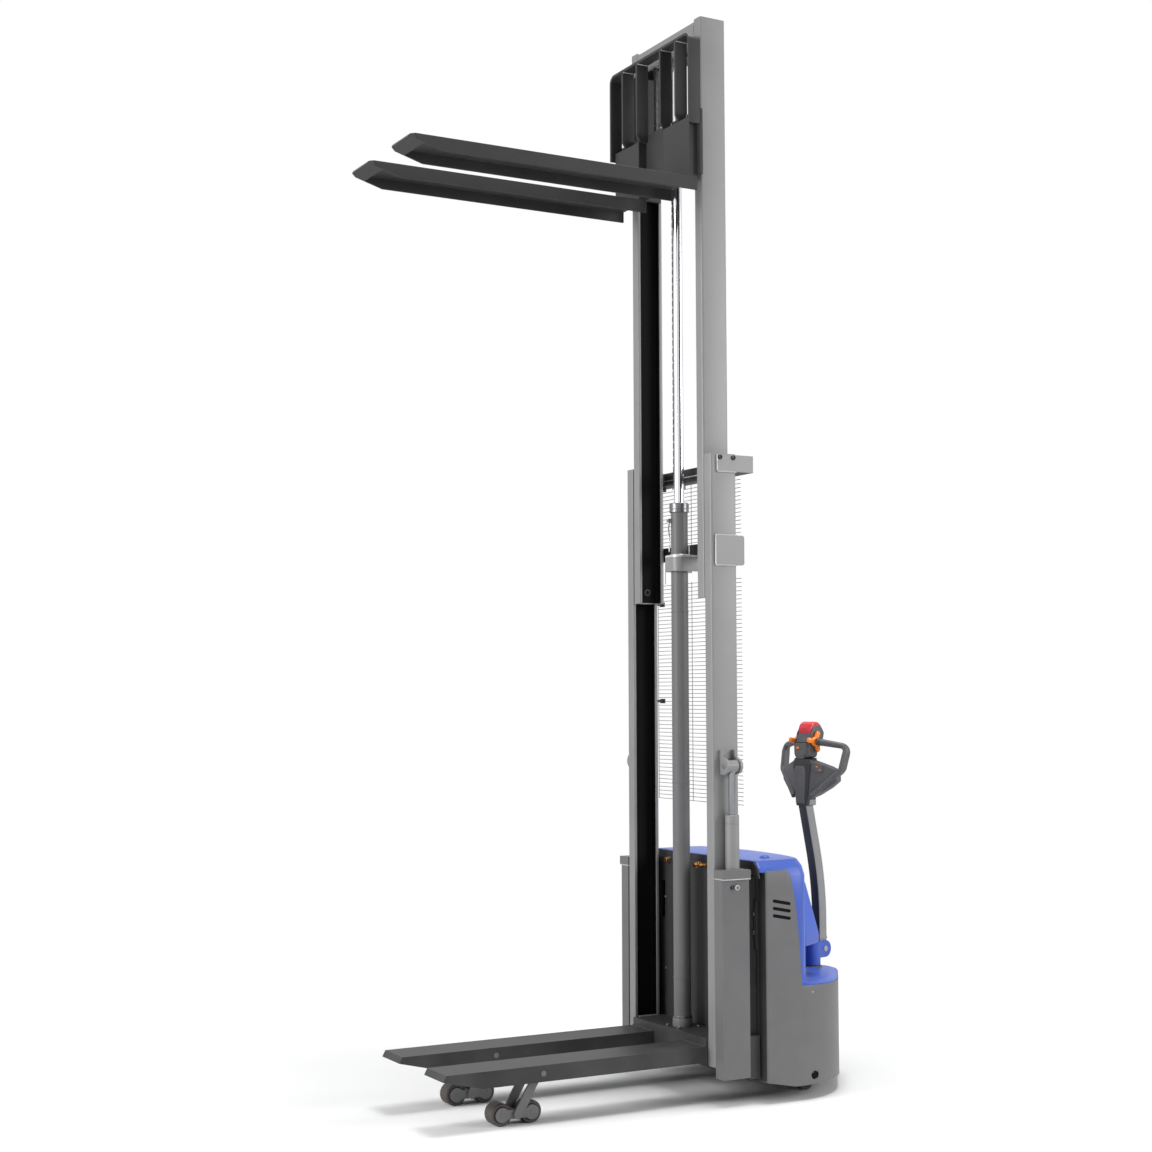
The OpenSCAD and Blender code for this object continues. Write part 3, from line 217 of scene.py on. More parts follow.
def net(rows: Array, loop: bool = False) -> Shell:
    """Surface through a grid of points, each row closed on itself.

    Args:
        rows: grid of points, row by row.
        loop: whether the last row joins the first; otherwise both get a face.

    Returns:
        The surface, with its faces outwards.
    """
    k, n = rows.shape[:2]
    i = np.arange(k if loop else k - 1)[:, None]
    j = np.arange(n)[None, :]
    after, beside = (i + 1) % k * n, (j + 1) % n
    quads = np.stack([i * n + j, i * n + beside, after + beside, after + j], -1).reshape(-1, 4)
    caps = [] if loop else [np.arange(n)[::-1], np.arange((k - 1) * n, k * n)]
    return Shell(rows.reshape(-1, 3), quads, caps).outward()


def rings(plans: Sequence[Array], heights: Sequence[float]) -> Shell:
    """Surface through level outlines with as many points each, one at each height."""
    return net(np.stack([np.insert(plan, 2, z, axis=1) for plan, z in zip(plans, heights)]))


def band(outer: Array, inner: Array, low: float, high: float) -> Shell:
    """Level ring between two closed outlines with as many points each, from one height to another."""
    rows = [np.insert(line, 2, z, axis=1) for line, z in ((outer, low), (outer, high), (inner, high), (inner, low))]
    return net(np.stack(rows), loop=True)


def prism(outline: Array, axis: str, low: float, high: float) -> Shell:
    """Flat outline carried along an axis.

    Args:
        outline: points in the other two axes, in the order x, y, z.
        axis: x, y or z.
        low: where it starts.
        high: where it ends.

    Returns:
        The closed solid.
    """
    rows = np.empty((2, len(outline), 3))
    along = "xyz".index(axis)
    rows[:, :, along] = np.array([low, high])[:, None]
    rows[:, :, [i for i in range(3) if i != along]] = outline
    return net(rows)


def block(low: Point, high: Point) -> Shell:
    """Box between two corners; the piece's bevel rounds its edges."""
    (x0, y0, z0), (x1, y1, z1) = low, high
    return prism(np.array([[x0, y0], [x1, y0], [x1, y1], [x0, y1]]), "z", z0, z1)


def frame_of(axis: Point) -> tuple[Array, Array, Array]:
    """Three directions at right angles.

    Args:
        axis: a direction.

    Returns:
        The axis at length one, a level direction across it and the third.
    """
    a = unit(np.asarray(axis, float))
    side = unit(np.cross(a, UP if abs(a[2]) < 0.9 else FAR))
    return a, side, np.cross(side, a)


def lathe(profile: Sequence[Point], origin: Point, axis: Point, sides: int = 40, ring: bool = False) -> Shell:
    """Profile turned about an axis: point = origin + h a + r (cos t side + sin t up).

    Args:
        profile: pairs of radius and height.
        origin: where height is zero.
        axis: direction of the axis.
        sides: points round the axis.
        ring: whether the profile is closed, as for a bored part.

    Returns:
        The turned solid.
    """
    a, side, up = frame_of(axis)
    p = np.asarray(profile, float)
    t = np.linspace(0, 2 * math.pi, sides, endpoint=False)
    spokes = np.cos(t)[:, None] * side + np.sin(t)[:, None] * up
    rows = np.asarray(origin, float) + p[:, 1, None, None] * a + p[:, 0, None, None] * spokes[None]
    return net(rows, loop=ring)


def sweep(path: Array, section: Array, ref: Point) -> Shell:
    """Section carried along a path: point = path + s0 side + s1 up, with side = tangent x ref.

    Args:
        path: points in order.
        section: pairs across the path, one set, or one for each point of the path.
        ref: direction that is never along the path.

    Returns:
        The closed solid.
    """
    p = np.asarray(path, float)
    tangent = unit(np.gradient(p, axis=0))
    side = unit(np.cross(tangent, np.asarray(ref, float)))
    up = np.cross(side, tangent)
    s = np.broadcast_to(section, (len(p), *np.shape(section)[-2:]))
    rows = p[:, None] + s[..., :1] * side[:, None] + s[..., 1:] * up[:, None]
    return net(rows)


def even(half: Sequence[Point]) -> list[Point]:
    """Profile that is the same at both ends: the half at negative height, then its mirror image."""
    return [*half, *((radius, -height) for radius, height in reversed(half))]


def wheel(half: Sequence[Point], centre: Point, sides: int = 56) -> Shell:
    """Bored wheel across the machine, turned from the half of its profile at negative height."""
    return lathe(even(half), centre, FAR, sides, ring=True)


def roller(radius: float, width: float, centre: Point) -> Shell:
    """Roller across the machine with a crowned rim, a seal groove and an inner race.

    Args:
        radius: rim radius.
        width: width along y.
        centre: middle of the roller.

    Returns:
        One bored solid.
    """
    r, h, bore = radius, width / 2, 12.2
    return wheel([(bore, 1 - h), (bore + 3, 0.2 - h), (r * 0.64, 0.2 - h), (r * 0.66, 1.2 - h),
                  (r * 0.72, 1.2 - h), (r * 0.74, -h), (r - 2.2, -h), (r - 0.7, 0.7 - h), (r, 2.5 - h)], centre)


def oval(a: float, b: float, sides: int = 12, square: float = 2.0) -> Array:
    """Points of |x/a|^n + |y/b|^n = 1.

    Args:
        a: half width.
        b: half height.
        sides: how many points.
        square: the exponent n, which is 2 for an ellipse and more for a boxy one.

    Returns:
        The points in order.
    """
    t = np.linspace(0, 2 * math.pi, sides, endpoint=False)
    c, s = np.cos(t), np.sin(t)
    return np.stack([a * np.sign(c) * np.abs(c) ** (2 / square), b * np.sign(s) * np.abs(s) ** (2 / square)], -1)


def tube(points: Sequence[Point], radius: float, bend: float = 0.0, sides: int = 10, ref: Point = UP) -> Shell:
    """Round bar through the points, with bends of one radius."""
    path = rounded(points, bend, 6, closed=False) if bend else np.asarray(points, float)
    return sweep(path, oval(radius, radius, sides), ref)


def weld(start: Point, end: Point, size: float, ref: Point) -> Shell:
    """Weld bead, rippled by size (1 + 0.16 sin(2 pi s / pitch)) with a pitch of 1.1 sizes.

    Args:
        start: where the bead starts.
        end: where it ends.
        size: its mean radius.
        ref: direction that is never along it.

    Returns:
        The bead, thinner at both ends.
    """
    a, b = np.asarray(start, float), np.asarray(end, float)
    length = float(np.linalg.norm(b - a))
    count = max(6, min(int(length / size * 2.4), 260))
    t = np.linspace(0, 1, count)
    swell = size * (1 + 0.16 * np.sin(2 * math.pi * t * length / (1.1 * size)))
    swell[[0, -1]] = size * 0.4
    section = oval(1.0, 1.0, 8)[None] * swell[:, None, None]
    return sweep(a + (b - a) * t[:, None], section, ref)


def welds(size: float, *rows: Sequence[float]) -> list[Shell]:
    """Beads of one size on both sides of the machine, each row the six numbers of its start and end."""
    return both(*(weld(row[:3], row[3:], size, FAR) for row in rows))


def screws(spots: Sequence[Point], axis: Point, radius: float, height: float) -> list[Shell]:
    """Screw heads with hexagon sockets.

    Args:
        spots: points on the surface that the heads sit on.
        axis: direction that the heads point to.
        radius: radius of a head.
        height: height of a head.

    Returns:
        Each head and its socket's floor.
    """
    r, h = radius, height
    head = [(r * 0.96, -0.4), (r, 0.2), (r, h - 0.8), (r - 0.8, h), (r * 0.56, h), (r * 0.5, h - 0.3),
            (r * 0.5, h * 0.4)]
    floor = [(r * 0.5, h * 0.42), (r * 0.02, h * 0.34)]
    return [lathe(profile, spot, axis, sides) for spot in spots for profile, sides in ((head, 24), (floor, 6))]


def washer(centre: Point, axis: Point, radius: float, bore: float, height: float) -> Shell:
    """Flat ring with chamfered edges."""
    profile = [(bore, 0), (radius, 0), (radius, height * 0.6), (radius - height * 0.4, height), (bore, height)]
    return lathe(profile, centre, axis, 32, ring=True)


def offset(outline: Array, amount: float) -> Array:
    """Moves a closed outline inwards along the mean normals of its sides.

    Args:
        outline: points in order.
        amount: how far, or less than zero for outwards.

    Returns:
        The moved points.
    """
    area = np.sum(outline[:, 0] * np.roll(outline[:, 1], -1) - outline[:, 1] * np.roll(outline[:, 0], -1))
    tangent = unit(np.roll(outline, -1, 0) - np.roll(outline, 1, 0))
    inward = np.stack([-tangent[:, 1], tangent[:, 0]], -1) * (1 if area > 0 else -1)
    return outline + inward * amount


def pillow(outline: Array, axis: str, low: float, high: float, edge: float, steps: int = 4) -> Shell:
    """Flat outline carried along an axis, its rims rounded: inset = edge (1 - sin a), height = edge (1 - cos a).

    Args:
        outline: points in the other two axes, in the order x, y, z.
        axis: x, y or z.
        low: where it starts.
        high: where it ends.
        edge: radius of the rims.
        steps: pieces in each rounded rim.

    Returns:
        The closed solid.
    """
    a = np.linspace(0, math.pi / 2, steps + 1)
    inset, height = edge * (1 - np.sin(a)), edge * (1 - np.cos(a))
    levels = np.concatenate([low + height, (high - height)[::-1]])
    insets = np.concatenate([inset, inset[::-1]])
    along = "xyz".index(axis)
    rows = np.empty((len(levels), len(outline), 3))
    rows[:, :, along] = levels[:, None]
    rows[:, :, [i for i in range(3) if i != along]] = np.stack([offset(outline, t) for t in insets])
    return net(rows)


# ---------------- finishes

def linear(colour: Triple) -> Colour:
    """Linear colour of an sRGB one: c / 12.92 below 0.04045, else ((c + 0.055) / 1.055) ^ 2.4.

    Args:
        colour: red, green and blue from 0 to 255.

    Returns:
        The linear colour, with an alpha of one.
    """
    c = np.array(colour) / 255
    value = np.where(c <= 0.04045, c / 12.92, ((c + 0.055) / 1.055) ** 2.4)
    return float(value[0]), float(value[1]), float(value[2]), 1.0


DUST = linear((150, 144, 134))
WHITE = (1.0, 1.0, 1.0, 1.0)


@dataclass
class Graph:
    """Node tree that is filled from empty.

    Args:
        tree: the tree.
    """

    tree: bpy.types.NodeTree

    def __post_init__(self) -> None:
        """Empties the tree."""
        self.tree.nodes.clear()

    def add(self, kind: str, inputs: Mapping[str | int, object], **settings: object) -> bpy.types.Node:
        """Adds a node.

        Args:
            kind: its type, without ShaderNode in front.
            inputs: a socket to link or a value to set for each input that is named.
            settings: properties of the node.

        Returns:
            The node.
        """
        node = self.tree.nodes.new("ShaderNode" + kind)
        for key, value in settings.items():
            setattr(node, key, value)
        for key, value in inputs.items():
            if isinstance(value, Socket):
                self.tree.links.new(value, node.inputs[key])
            else:
                node.inputs[key].default_value = value
        return node

    def place(self) -> Socket:
        """Object coordinates."""
        return self.add("TexCoord", {}).outputs["Object"]

    def noise(self, place: Socket, scale: float, detail: float) -> Socket:
        """Noise of a scale in patterns per metre."""
        return self.add("TexNoise", {"Vector": place, "Scale": scale, "Detail": detail}).outputs["Fac"]

    def band(self, value: Socket, low: float, high: float, span: float = 1.0, start: float = 0.0,
             interpolation: str = "LINEAR") -> Socket:
        """Brings the value's part between low and high to the range from start to start + span."""
        return self.add("MapRange", {"Value": value, "From Min": low, "From Max": high, "To Min": start,
                                     "To Max": start + span}, interpolation_type=interpolation).outputs["Result"]

    def mix(self, share: Socket, first: object, second: object) -> Socket:
        """Colour between two, each given as a socket or a value."""
        return self.add("Mix", {0: share, 6: first, 7: second}, data_type="RGBA").outputs[2]

    def math(self, operation: str, first: Socket, second: Socket
             ) -> Socket:
        """Two values joined by an operation."""
        return self.add("Math", {0: first, 1: second}, operation=operation).outputs["Value"]

    def blended(self, share: Socket, first: bpy.types.Node, second: bpy.types.Node, output: str) -> None:
        """Ends the tree with a mix of two shaders."""
        mix = self.add("MixShader", {0: share, 1: first.outputs[0], 2: second.outputs[0]})
        self.add(output, {"Surface": mix.outputs["Shader"]})


class Finish(Enum):
    """The finishes, named after the record's material slots."""

    MAST = "mast_paint"
    BODY = "body_paint"
    DARK = "dark_paint"
    BLUE = "blue_paint"
    BATTERY = "battery_case"
    BRASS = "brass_fitting"
    SCREW = "screw_steel"
    RED = "red_plastic"
    WIRE = "guard_wire"
    CHROME = "chrome_rod"
    CHAIN = "chain_steel"
    PULLEY = "pulley_iron"
    ROLLER = "roller_steel"
    WHEEL = "wheel_tread"
    LOAD_ROLLER = "roller_tread"
    GRIP = "grip_plastic"
    ORANGE = "orange_plastic"
    # Pale finish for beads, seams and rings, lighter than their paint: partly the beads' own metal, partly painted
    # highlight.
    HIGHLIGHT_BEAD = "weld_bead_highlight"
    SHADE = "deep_shade"

    @property
    def slot(self) -> str:
        """Material slot of the record: beads belong to the mast's paint, shades to the battery's case."""
        return {"weld_bead_highlight": "mast_paint", "deep_shade": "battery_case"}.get(self.value, self.value)


@dataclass(frozen=True)
class Coating:
    """Procedural surface: a colour with mottling, specks and dust, a roughness that varies, and a fine relief.

    Args:
        colour: sRGB colour, from 0 to 255.
        other: sRGB colour of the specks and worn places.
        metallic: metal share.
        roughness: mean roughness.
        spread: how far the roughness varies.
        mottle: share of large soft colour variation.
        specks: share of fine specks.
        speck_size: size of a speck in millimetres.
        relief: height of the fine relief in millimetres.
        relief_size: size of the relief in millimetres.
        stretch: scale of the pattern along x, y and z.
        dust: share of pale dust near the floor.
        coat: clear coat weight.
        specular: specular level.
    """

    colour: Triple
    other: Triple
    metallic: float
    roughness: float
    spread: float
    mottle: float
    specks: float
    speck_size: float
    relief: float
    relief_size: float
    stretch: Triple = (1.0, 1.0, 1.0)
    dust: float = 0.0
    coat: float = 0.0
    specular: float = 0.5

    def material(self, name: str) -> bpy.types.Material:
        """Builds the node tree.

        Args:
            name: name of the material.

        Returns:
            The material.
        """
        material = bpy.data.materials.new(name)
        material.use_nodes = True
        graph = Graph(material.node_tree)
        place = graph.add("Mapping", {"Vector": graph.place(), "Scale": self.stretch}).outputs["Vector"]
        large = graph.noise(place, 5.0, 4.0)
        fine = graph.noise(place, 0.55 / (self.speck_size * MM), 2.0)
        base = linear(self.colour)[:3]
        shade = tuple(c * (1 - 2.2 * self.mottle) for c in base) + (1.0,)
        light = tuple(min(1.0, c * (1 + 2.2 * self.mottle)) for c in base) + (1.0,)
        colour = graph.mix(graph.band(large, 0.3, 0.7), shade, light)
        colour = graph.mix(graph.band(fine, 0.56, 0.78, self.specks), colour, linear(self.other))
        if self.dust > 0:
            colour = graph.mix(self._dust(graph, large), colour, DUST)
        grain = graph.noise(place, 0.6 / (self.relief_size * MM), 3.0)
        bump = graph.add("Bump", {"Strength": 1.0, "Distance": self.relief * MM, "Height": grain})
        shader = graph.add("BsdfPrincipled", {
            "Base Color": colour, "Metallic": self.metallic, "Coat Weight": self.coat, "Coat Roughness": 0.18,
            "Specular IOR Level": self.specular, "Normal": bump.outputs["Normal"],
            "Roughness": graph.band(large, 0.25, 0.75, 2 * self.spread, self.roughness - self.spread)})
        graph.add("OutputMaterial", {"Surface": shader.outputs["BSDF"]})
        return material

    def _dust(self, graph: Graph, large: Socket) -> Socket:
        """Share of dust, which falls from the floor to half a metre and breaks up with the large noise."""
        height = graph.add("SeparateXYZ", {"Vector": graph.place()}).outputs["Z"]
        return graph.math("MULTIPLY", graph.band(height, 0.5, 0.0, self.dust), graph.band(large, 0.35, 0.7))


COATINGS: dict[Finish, Coating] = {
    Finish.MAST: Coating((136, 136, 136), (180, 180, 180), 0.2, 0.46, 0.05, 0.025, 0.16, 0.9, 0.03, 1.4, dust=0.1,
                         specular=0.2),
    Finish.BODY: Coating((107, 107, 108), (152, 152, 152), 0.1, 0.45, 0.05, 0.025, 0.14, 0.9, 0.03, 1.4, dust=0.12,
                         specular=0.2),
    Finish.DARK: Coating((56, 56, 57), (108, 108, 108), 0.0, 0.5, 0.06, 0.05, 0.12, 1.1, 0.04, 1.5, dust=0.12,
                         specular=0.2),
    Finish.BLUE: Coating((64, 92, 180), (100, 124, 202), 0.0, 0.42, 0.04, 0.02, 0.12, 1.0, 0.03, 1.6, coat=0.1,
                         specular=0.25),
    Finish.BATTERY: Coating((42, 42, 44), (70, 70, 70), 0.0, 0.5, 0.08, 0.05, 0.2, 1.2, 0.08, 1.2),
    Finish.BRASS: Coating((196, 142, 84), (120, 84, 52), 0.95, 0.3, 0.1, 0.08, 0.25, 1.2, 0.02, 0.8),
    Finish.SCREW: Coating((152, 152, 154), (90, 90, 90), 0.9, 0.34, 0.08, 0.06, 0.2, 0.8, 0.02, 0.7),
    Finish.RED: Coating((206, 34, 54), (168, 24, 40), 0.0, 0.36, 0.05, 0.03, 0.15, 1.0, 0.05, 1.0, coat=0.2),
    Finish.WIRE: Coating((96, 96, 98), (150, 150, 150), 0.2, 0.45, 0.08, 0.05, 0.15, 1.0, 0.02, 1.0),
    Finish.CHROME: Coating((216, 217, 220), (190, 190, 194), 1.0, 0.12, 0.05, 0.02, 0.1, 1.0, 0.01, 2.0,
                           stretch=(6.0, 6.0, 1.0)),
    Finish.CHAIN: Coating((84, 84, 86), (36, 32, 28), 0.85, 0.36, 0.12, 0.12, 0.35, 2.2, 0.04, 1.0),
    Finish.PULLEY: Coating((46, 46, 47), (92, 90, 86), 0.5, 0.42, 0.1, 0.1, 0.3, 1.6, 0.12, 2.0),
    Finish.ROLLER: Coating((120, 120, 122), (64, 60, 56), 0.9, 0.36, 0.1, 0.1, 0.3, 1.8, 0.03, 1.0),
    Finish.WHEEL: Coating((46, 44, 43), (92, 88, 82), 0.0, 0.62, 0.1, 0.1, 0.25, 2.2, 0.1, 1.6, dust=0.35),
    Finish.LOAD_ROLLER: Coating((44, 36, 34), (88, 76, 70), 0.0, 0.5, 0.12, 0.12, 0.25, 2.2, 0.1, 1.6, dust=0.25),
    Finish.GRIP: Coating((74, 74, 76), (104, 104, 104), 0.0, 0.52, 0.05, 0.03, 0.2, 0.6, 0.06, 0.6),
    # Pale bead colour: partly the beads' own metal, partly painted highlight.
    Finish.HIGHLIGHT_BEAD: Coating((196, 196, 197), (120, 120, 120), 0.3, 0.36, 0.08, 0.04, 0.2, 1.2, 0.06, 1.0),
    Finish.SHADE: Coating((16, 16, 16), (34, 32, 30), 0.0, 0.7, 0.05, 0.1, 0.3, 1.2, 0.04, 1.2, specular=0.08),
    Finish.ORANGE: Coating((244, 128, 14), (208, 96, 8), 0.0, 0.36, 0.05, 0.03, 0.12, 1.0, 0.04, 1.0, coat=0.2),
}


# ---------------- workshop

class Workshop:
    """Makes the objects: metres, finish, shading, body and the CAD nodes that each piece stands for."""

    def __init__(self, frame: dict) -> None:
        """Takes the loaded frame and prepares the finishes.
        """
        self.nodes: dict[str, bpy.types.Object] = frame["nodes"]
        joints = {joint["name"]: joint for joint in frame["joints"]}
        self.slots = {part["node"]: part["material_slot"] for part in frame["record"]["subparts"]}
        self.mast_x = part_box("outer_column_near")[0].x / MM
        self.materials = {finish: COATINGS[finish].material(finish.value) for finish in Finish}
        tilt = joints["tiller_tilt"]["axis"]
        self.yaw = math.degrees(math.atan2(-tilt[0], tilt[1]))
        self.steer_x = joints["steering"]["pos_m"][0] / MM - self.mast_x

    def coat_nodes(self) -> None:
        """Gives every CAD node the finish of its slot."""
        for name, node in self.nodes.items():
            material = self.materials[Finish(self.slots[name])]
            node.data.materials.clear()
            node.data.materials.append(material)

    def box(self, node: str) -> tuple[Array, Array]:
        """Lowest and highest corners of a CAD node, in the classes' millimetres."""
        low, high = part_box(node)
        return tuple(np.array(corner) / MM - np.array([self.mast_x, 0.0, 0.0]) for corner in (low, high))

    def body(self, node: str) -> str:
        """Body of a CAD node."""
        return self.nodes[node]["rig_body"]

    def steered(self, shell: Shell) -> Shell:
        """Carries a shell drawn in the steering column's own frame to its place."""
        return shell.turned(self.yaw).moved(self.steer_x)

    def piece(self, name: str, shape: Sequence[Shell] | bpy.types.Mesh, finish: Finish,
              stands_for: Sequence[str] = (), rides: str = "", bevel: float = 0.0, sharp: float = SHARP
              ) -> bpy.types.Object:
        """Makes one object, with its shading, finish, rounded edges and body.

        Args:
            name: name of the object.
            shape: its closed surfaces, or its mesh.
            finish: its finish.
            stands_for: CAD nodes that it replaces.
            rides: its body, LOOSE for none, or empty for the body of the first node that it replaces.
            bevel: width of the rounded edges in millimetres.
            sharp: angle in degrees over which an edge stays sharp.

        Returns:
            The object.
        """
        mesh = shape if isinstance(shape, bpy.types.Mesh) else self._mesh(name, shape)
        self._shade(mesh, sharp)
        mesh.materials.append(self.materials[finish])
        piece = bpy.data.objects.new(name, mesh)
        bpy.context.scene.collection.objects.link(piece)
        if bevel > 0:
            edge = piece.modifiers.new("edges", "BEVEL")
            edge.width = bevel * MM
            edge.segments = 2
            edge.limit_method = "ANGLE"
            edge.angle_limit = math.radians(40)
            edge.harden_normals = True
        if stands_for:
            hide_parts(*stands_for)
        if rides != LOOSE:
            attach(piece, rides or self.body(stands_for[0]))
        LOG.info("%s: %d faces, %s", name, len(mesh.polygons), finish.value)
        return piece

    def _mesh(self, name: str, shells: Sequence[Shell]) -> bpy.types.Mesh:
        """Fills a mesh with whole arrays, in metres.

        Args:
            name: name of the mesh.
            shells: its closed surfaces.

        Returns:
            The mesh.
        """
        whole = joined(shells)
        mesh = bpy.data.meshes.new(name)
        loops = np.concatenate([whole.quads.ravel(), *whole.caps]).astype(np.int32)
        sizes = np.concatenate([np.full(len(whole.quads), 4), np.array([len(cap) for cap in whole.caps], int)])
        starts = np.concatenate([[0], np.cumsum(sizes)[:-1]]).astype(np.int32)
        mesh.vertices.add(len(whole.points))
        metres = (whole.points + np.array([self.mast_x, 0, 0])) * MM
        mesh.vertices.foreach_set("co", metres.astype(np.float32).ravel())
        mesh.loops.add(len(loops))
        mesh.loops.foreach_set("vertex_index", loops)
        mesh.polygons.add(len(sizes))
        mesh.polygons.foreach_set("loop_start", starts)
        mesh.update(calc_edges=True)
        mesh.validate()
        return mesh

    def softened(self, node: str, finish: Finish, bevel: float) -> bpy.types.Object:
        """Copy of a CAD node with its triangles joined to flat faces and its edges rounded.

        Args:
            node: the node.
            finish: its finish.
            bevel: width of the rounded edges in millimetres.

        Returns:
            The object.
        """
        shape = bmesh.new()
        shape.from_mesh(self.nodes[node].data)
        bmesh.ops.remove_doubles(shape, verts=shape.verts, dist=2e-6)
        bmesh.ops.dissolve_limit(shape, angle_limit=0.012, verts=shape.verts, edges=shape.edges)
        mesh = bpy.data.meshes.new(node + ".soft")
        shape.to_mesh(mesh)
        shape.free()
        if "custom_normal" in mesh.attributes:
            mesh.attributes.remove(mesh.attributes["custom_normal"])
        mesh.materials.clear()
        return self.piece(node + ".soft", mesh, finish, (node,), bevel=bevel)

    @staticmethod
    def _shade(mesh: bpy.types.Mesh, sharp: float) -> None:
        """Smooth shading that stops at edges sharper than an angle in degrees."""
        mesh.polygons.foreach_set("use_smooth", np.ones(len(mesh.polygons), bool))
        mesh.set_sharp_from_angle(angle=math.radians(sharp))

    def cut(self, piece: bpy.types.Object, cutters: Sequence[Shell]) -> None:
        """Takes the cutters out of a piece and keeps the result as its mesh.

        Args:
            piece: the object, with no modifier yet.
            cutters: closed surfaces.
        """
        tool = bpy.data.objects.new("cutter", self._mesh("cutter", cutters))
        bpy.context.scene.collection.objects.link(tool)
        boolean = piece.modifiers.new("cut", "BOOLEAN")
        boolean.operation, boolean.solver, boolean.object = "DIFFERENCE", "EXACT", tool
        bpy.context.view_layer.update()
        graph = bpy.context.evaluated_depsgraph_get()
        result = bpy.data.meshes.new_from_object(piece.evaluated_get(graph))
        piece.modifiers.remove(boolean)
        self._shade(result, SHARP)
        piece.data = result
        bpy.data.objects.remove(tool)


# ---------------- sub-assemblies

@dataclass
class Assembly:
    """Sub-assembly of the machine. Its other fields are its sizes.

    Args:
        shop: the workshop that makes its objects.
    """

    shop: Workshop

    def __post_init__(self) -> None:
        """Takes over the workshop's methods that every sub-assembly calls."""
        self.box, self.piece, self.softened = self.shop.box, self.shop.piece, self.shop.softened

    def build(self) -> None:
        """Builds every piece of the sub-assembly."""
        raise NotImplementedError


@dataclass
class SteeredAssembly(Assembly):
    """Sub-assembly drawn in the steering column's own frame: x to the rear, y across, z up."""

    def put(self, name: str, shells: Sequence[Shell], finish: Finish, stands_for: Sequence[str] = (),
            rides: str = "", sharp: float = SHARP) -> None:
        """Makes one object from shells and carries it to its place; the arguments are those of piece."""
        self.piece(name, [self.shop.steered(shell) for shell in shells], finish, stands_for, rides, sharp=sharp)


# ---------------- mast

@dataclass
class Column(Assembly):
    """One rolled channel of the mast, with filleted inner corners and rounded toes."""

    node: str
    flange: float = 13.0
    web: float = 12.0
    corner: float = 8.0
    root: float = 6.0
    toe: float = 3.0
    track_gap: float = 4.0
    track_faces: Pair = (-0.2, 0.4)

    def build(self) -> None:
        """Carries the channel's profile up the column, the mouth towards the centre plane."""
        low, high = self.box(self.node)
        out, mouth = (low[1], high[1]) if low[1] < 0 else (high[1], low[1])
        inward = math.copysign(1.0, mouth - out)
        x0, x1, floor = low[0], high[0], out + inward * self.web
        front, rear = x0 + self.flange, x1 - self.flange
        outline = rounded([(x0, out), (x1, out), (x1, mouth), (rear, mouth), (rear, floor), (front, floor),
                           (front, mouth), (x0, mouth)],
                          [self.corner, self.corner, self.toe, self.toe, self.root, self.root, self.toe, self.toe])
        self.piece(self.node + ".rail", [prism(outline, "z", low[2], high[2])], Finish.MAST, [self.node], bevel=0.8)
        # The dark lining on the channel's inner faces is painted shade, for the shade deep inside the channel.
        lip = mouth - inward * self.track_gap
        track = [rounded([(rear - t, lip), (rear - t, floor + inward * t), (front + t, floor + inward * t),
                          (front + t, lip)], [0, self.root - t, self.root - t, 0], closed=False)
                 for t in self.track_faces]
        painted_shade_lining = prism(np.concatenate([track[0], track[1][::-1]]), "z", low[2] + self.track_gap,
                       high[2] - self.track_gap)
        self.piece(self.node + ".track", [painted_shade_lining], Finish.SHADE, rides=self.shop.body(self.node))


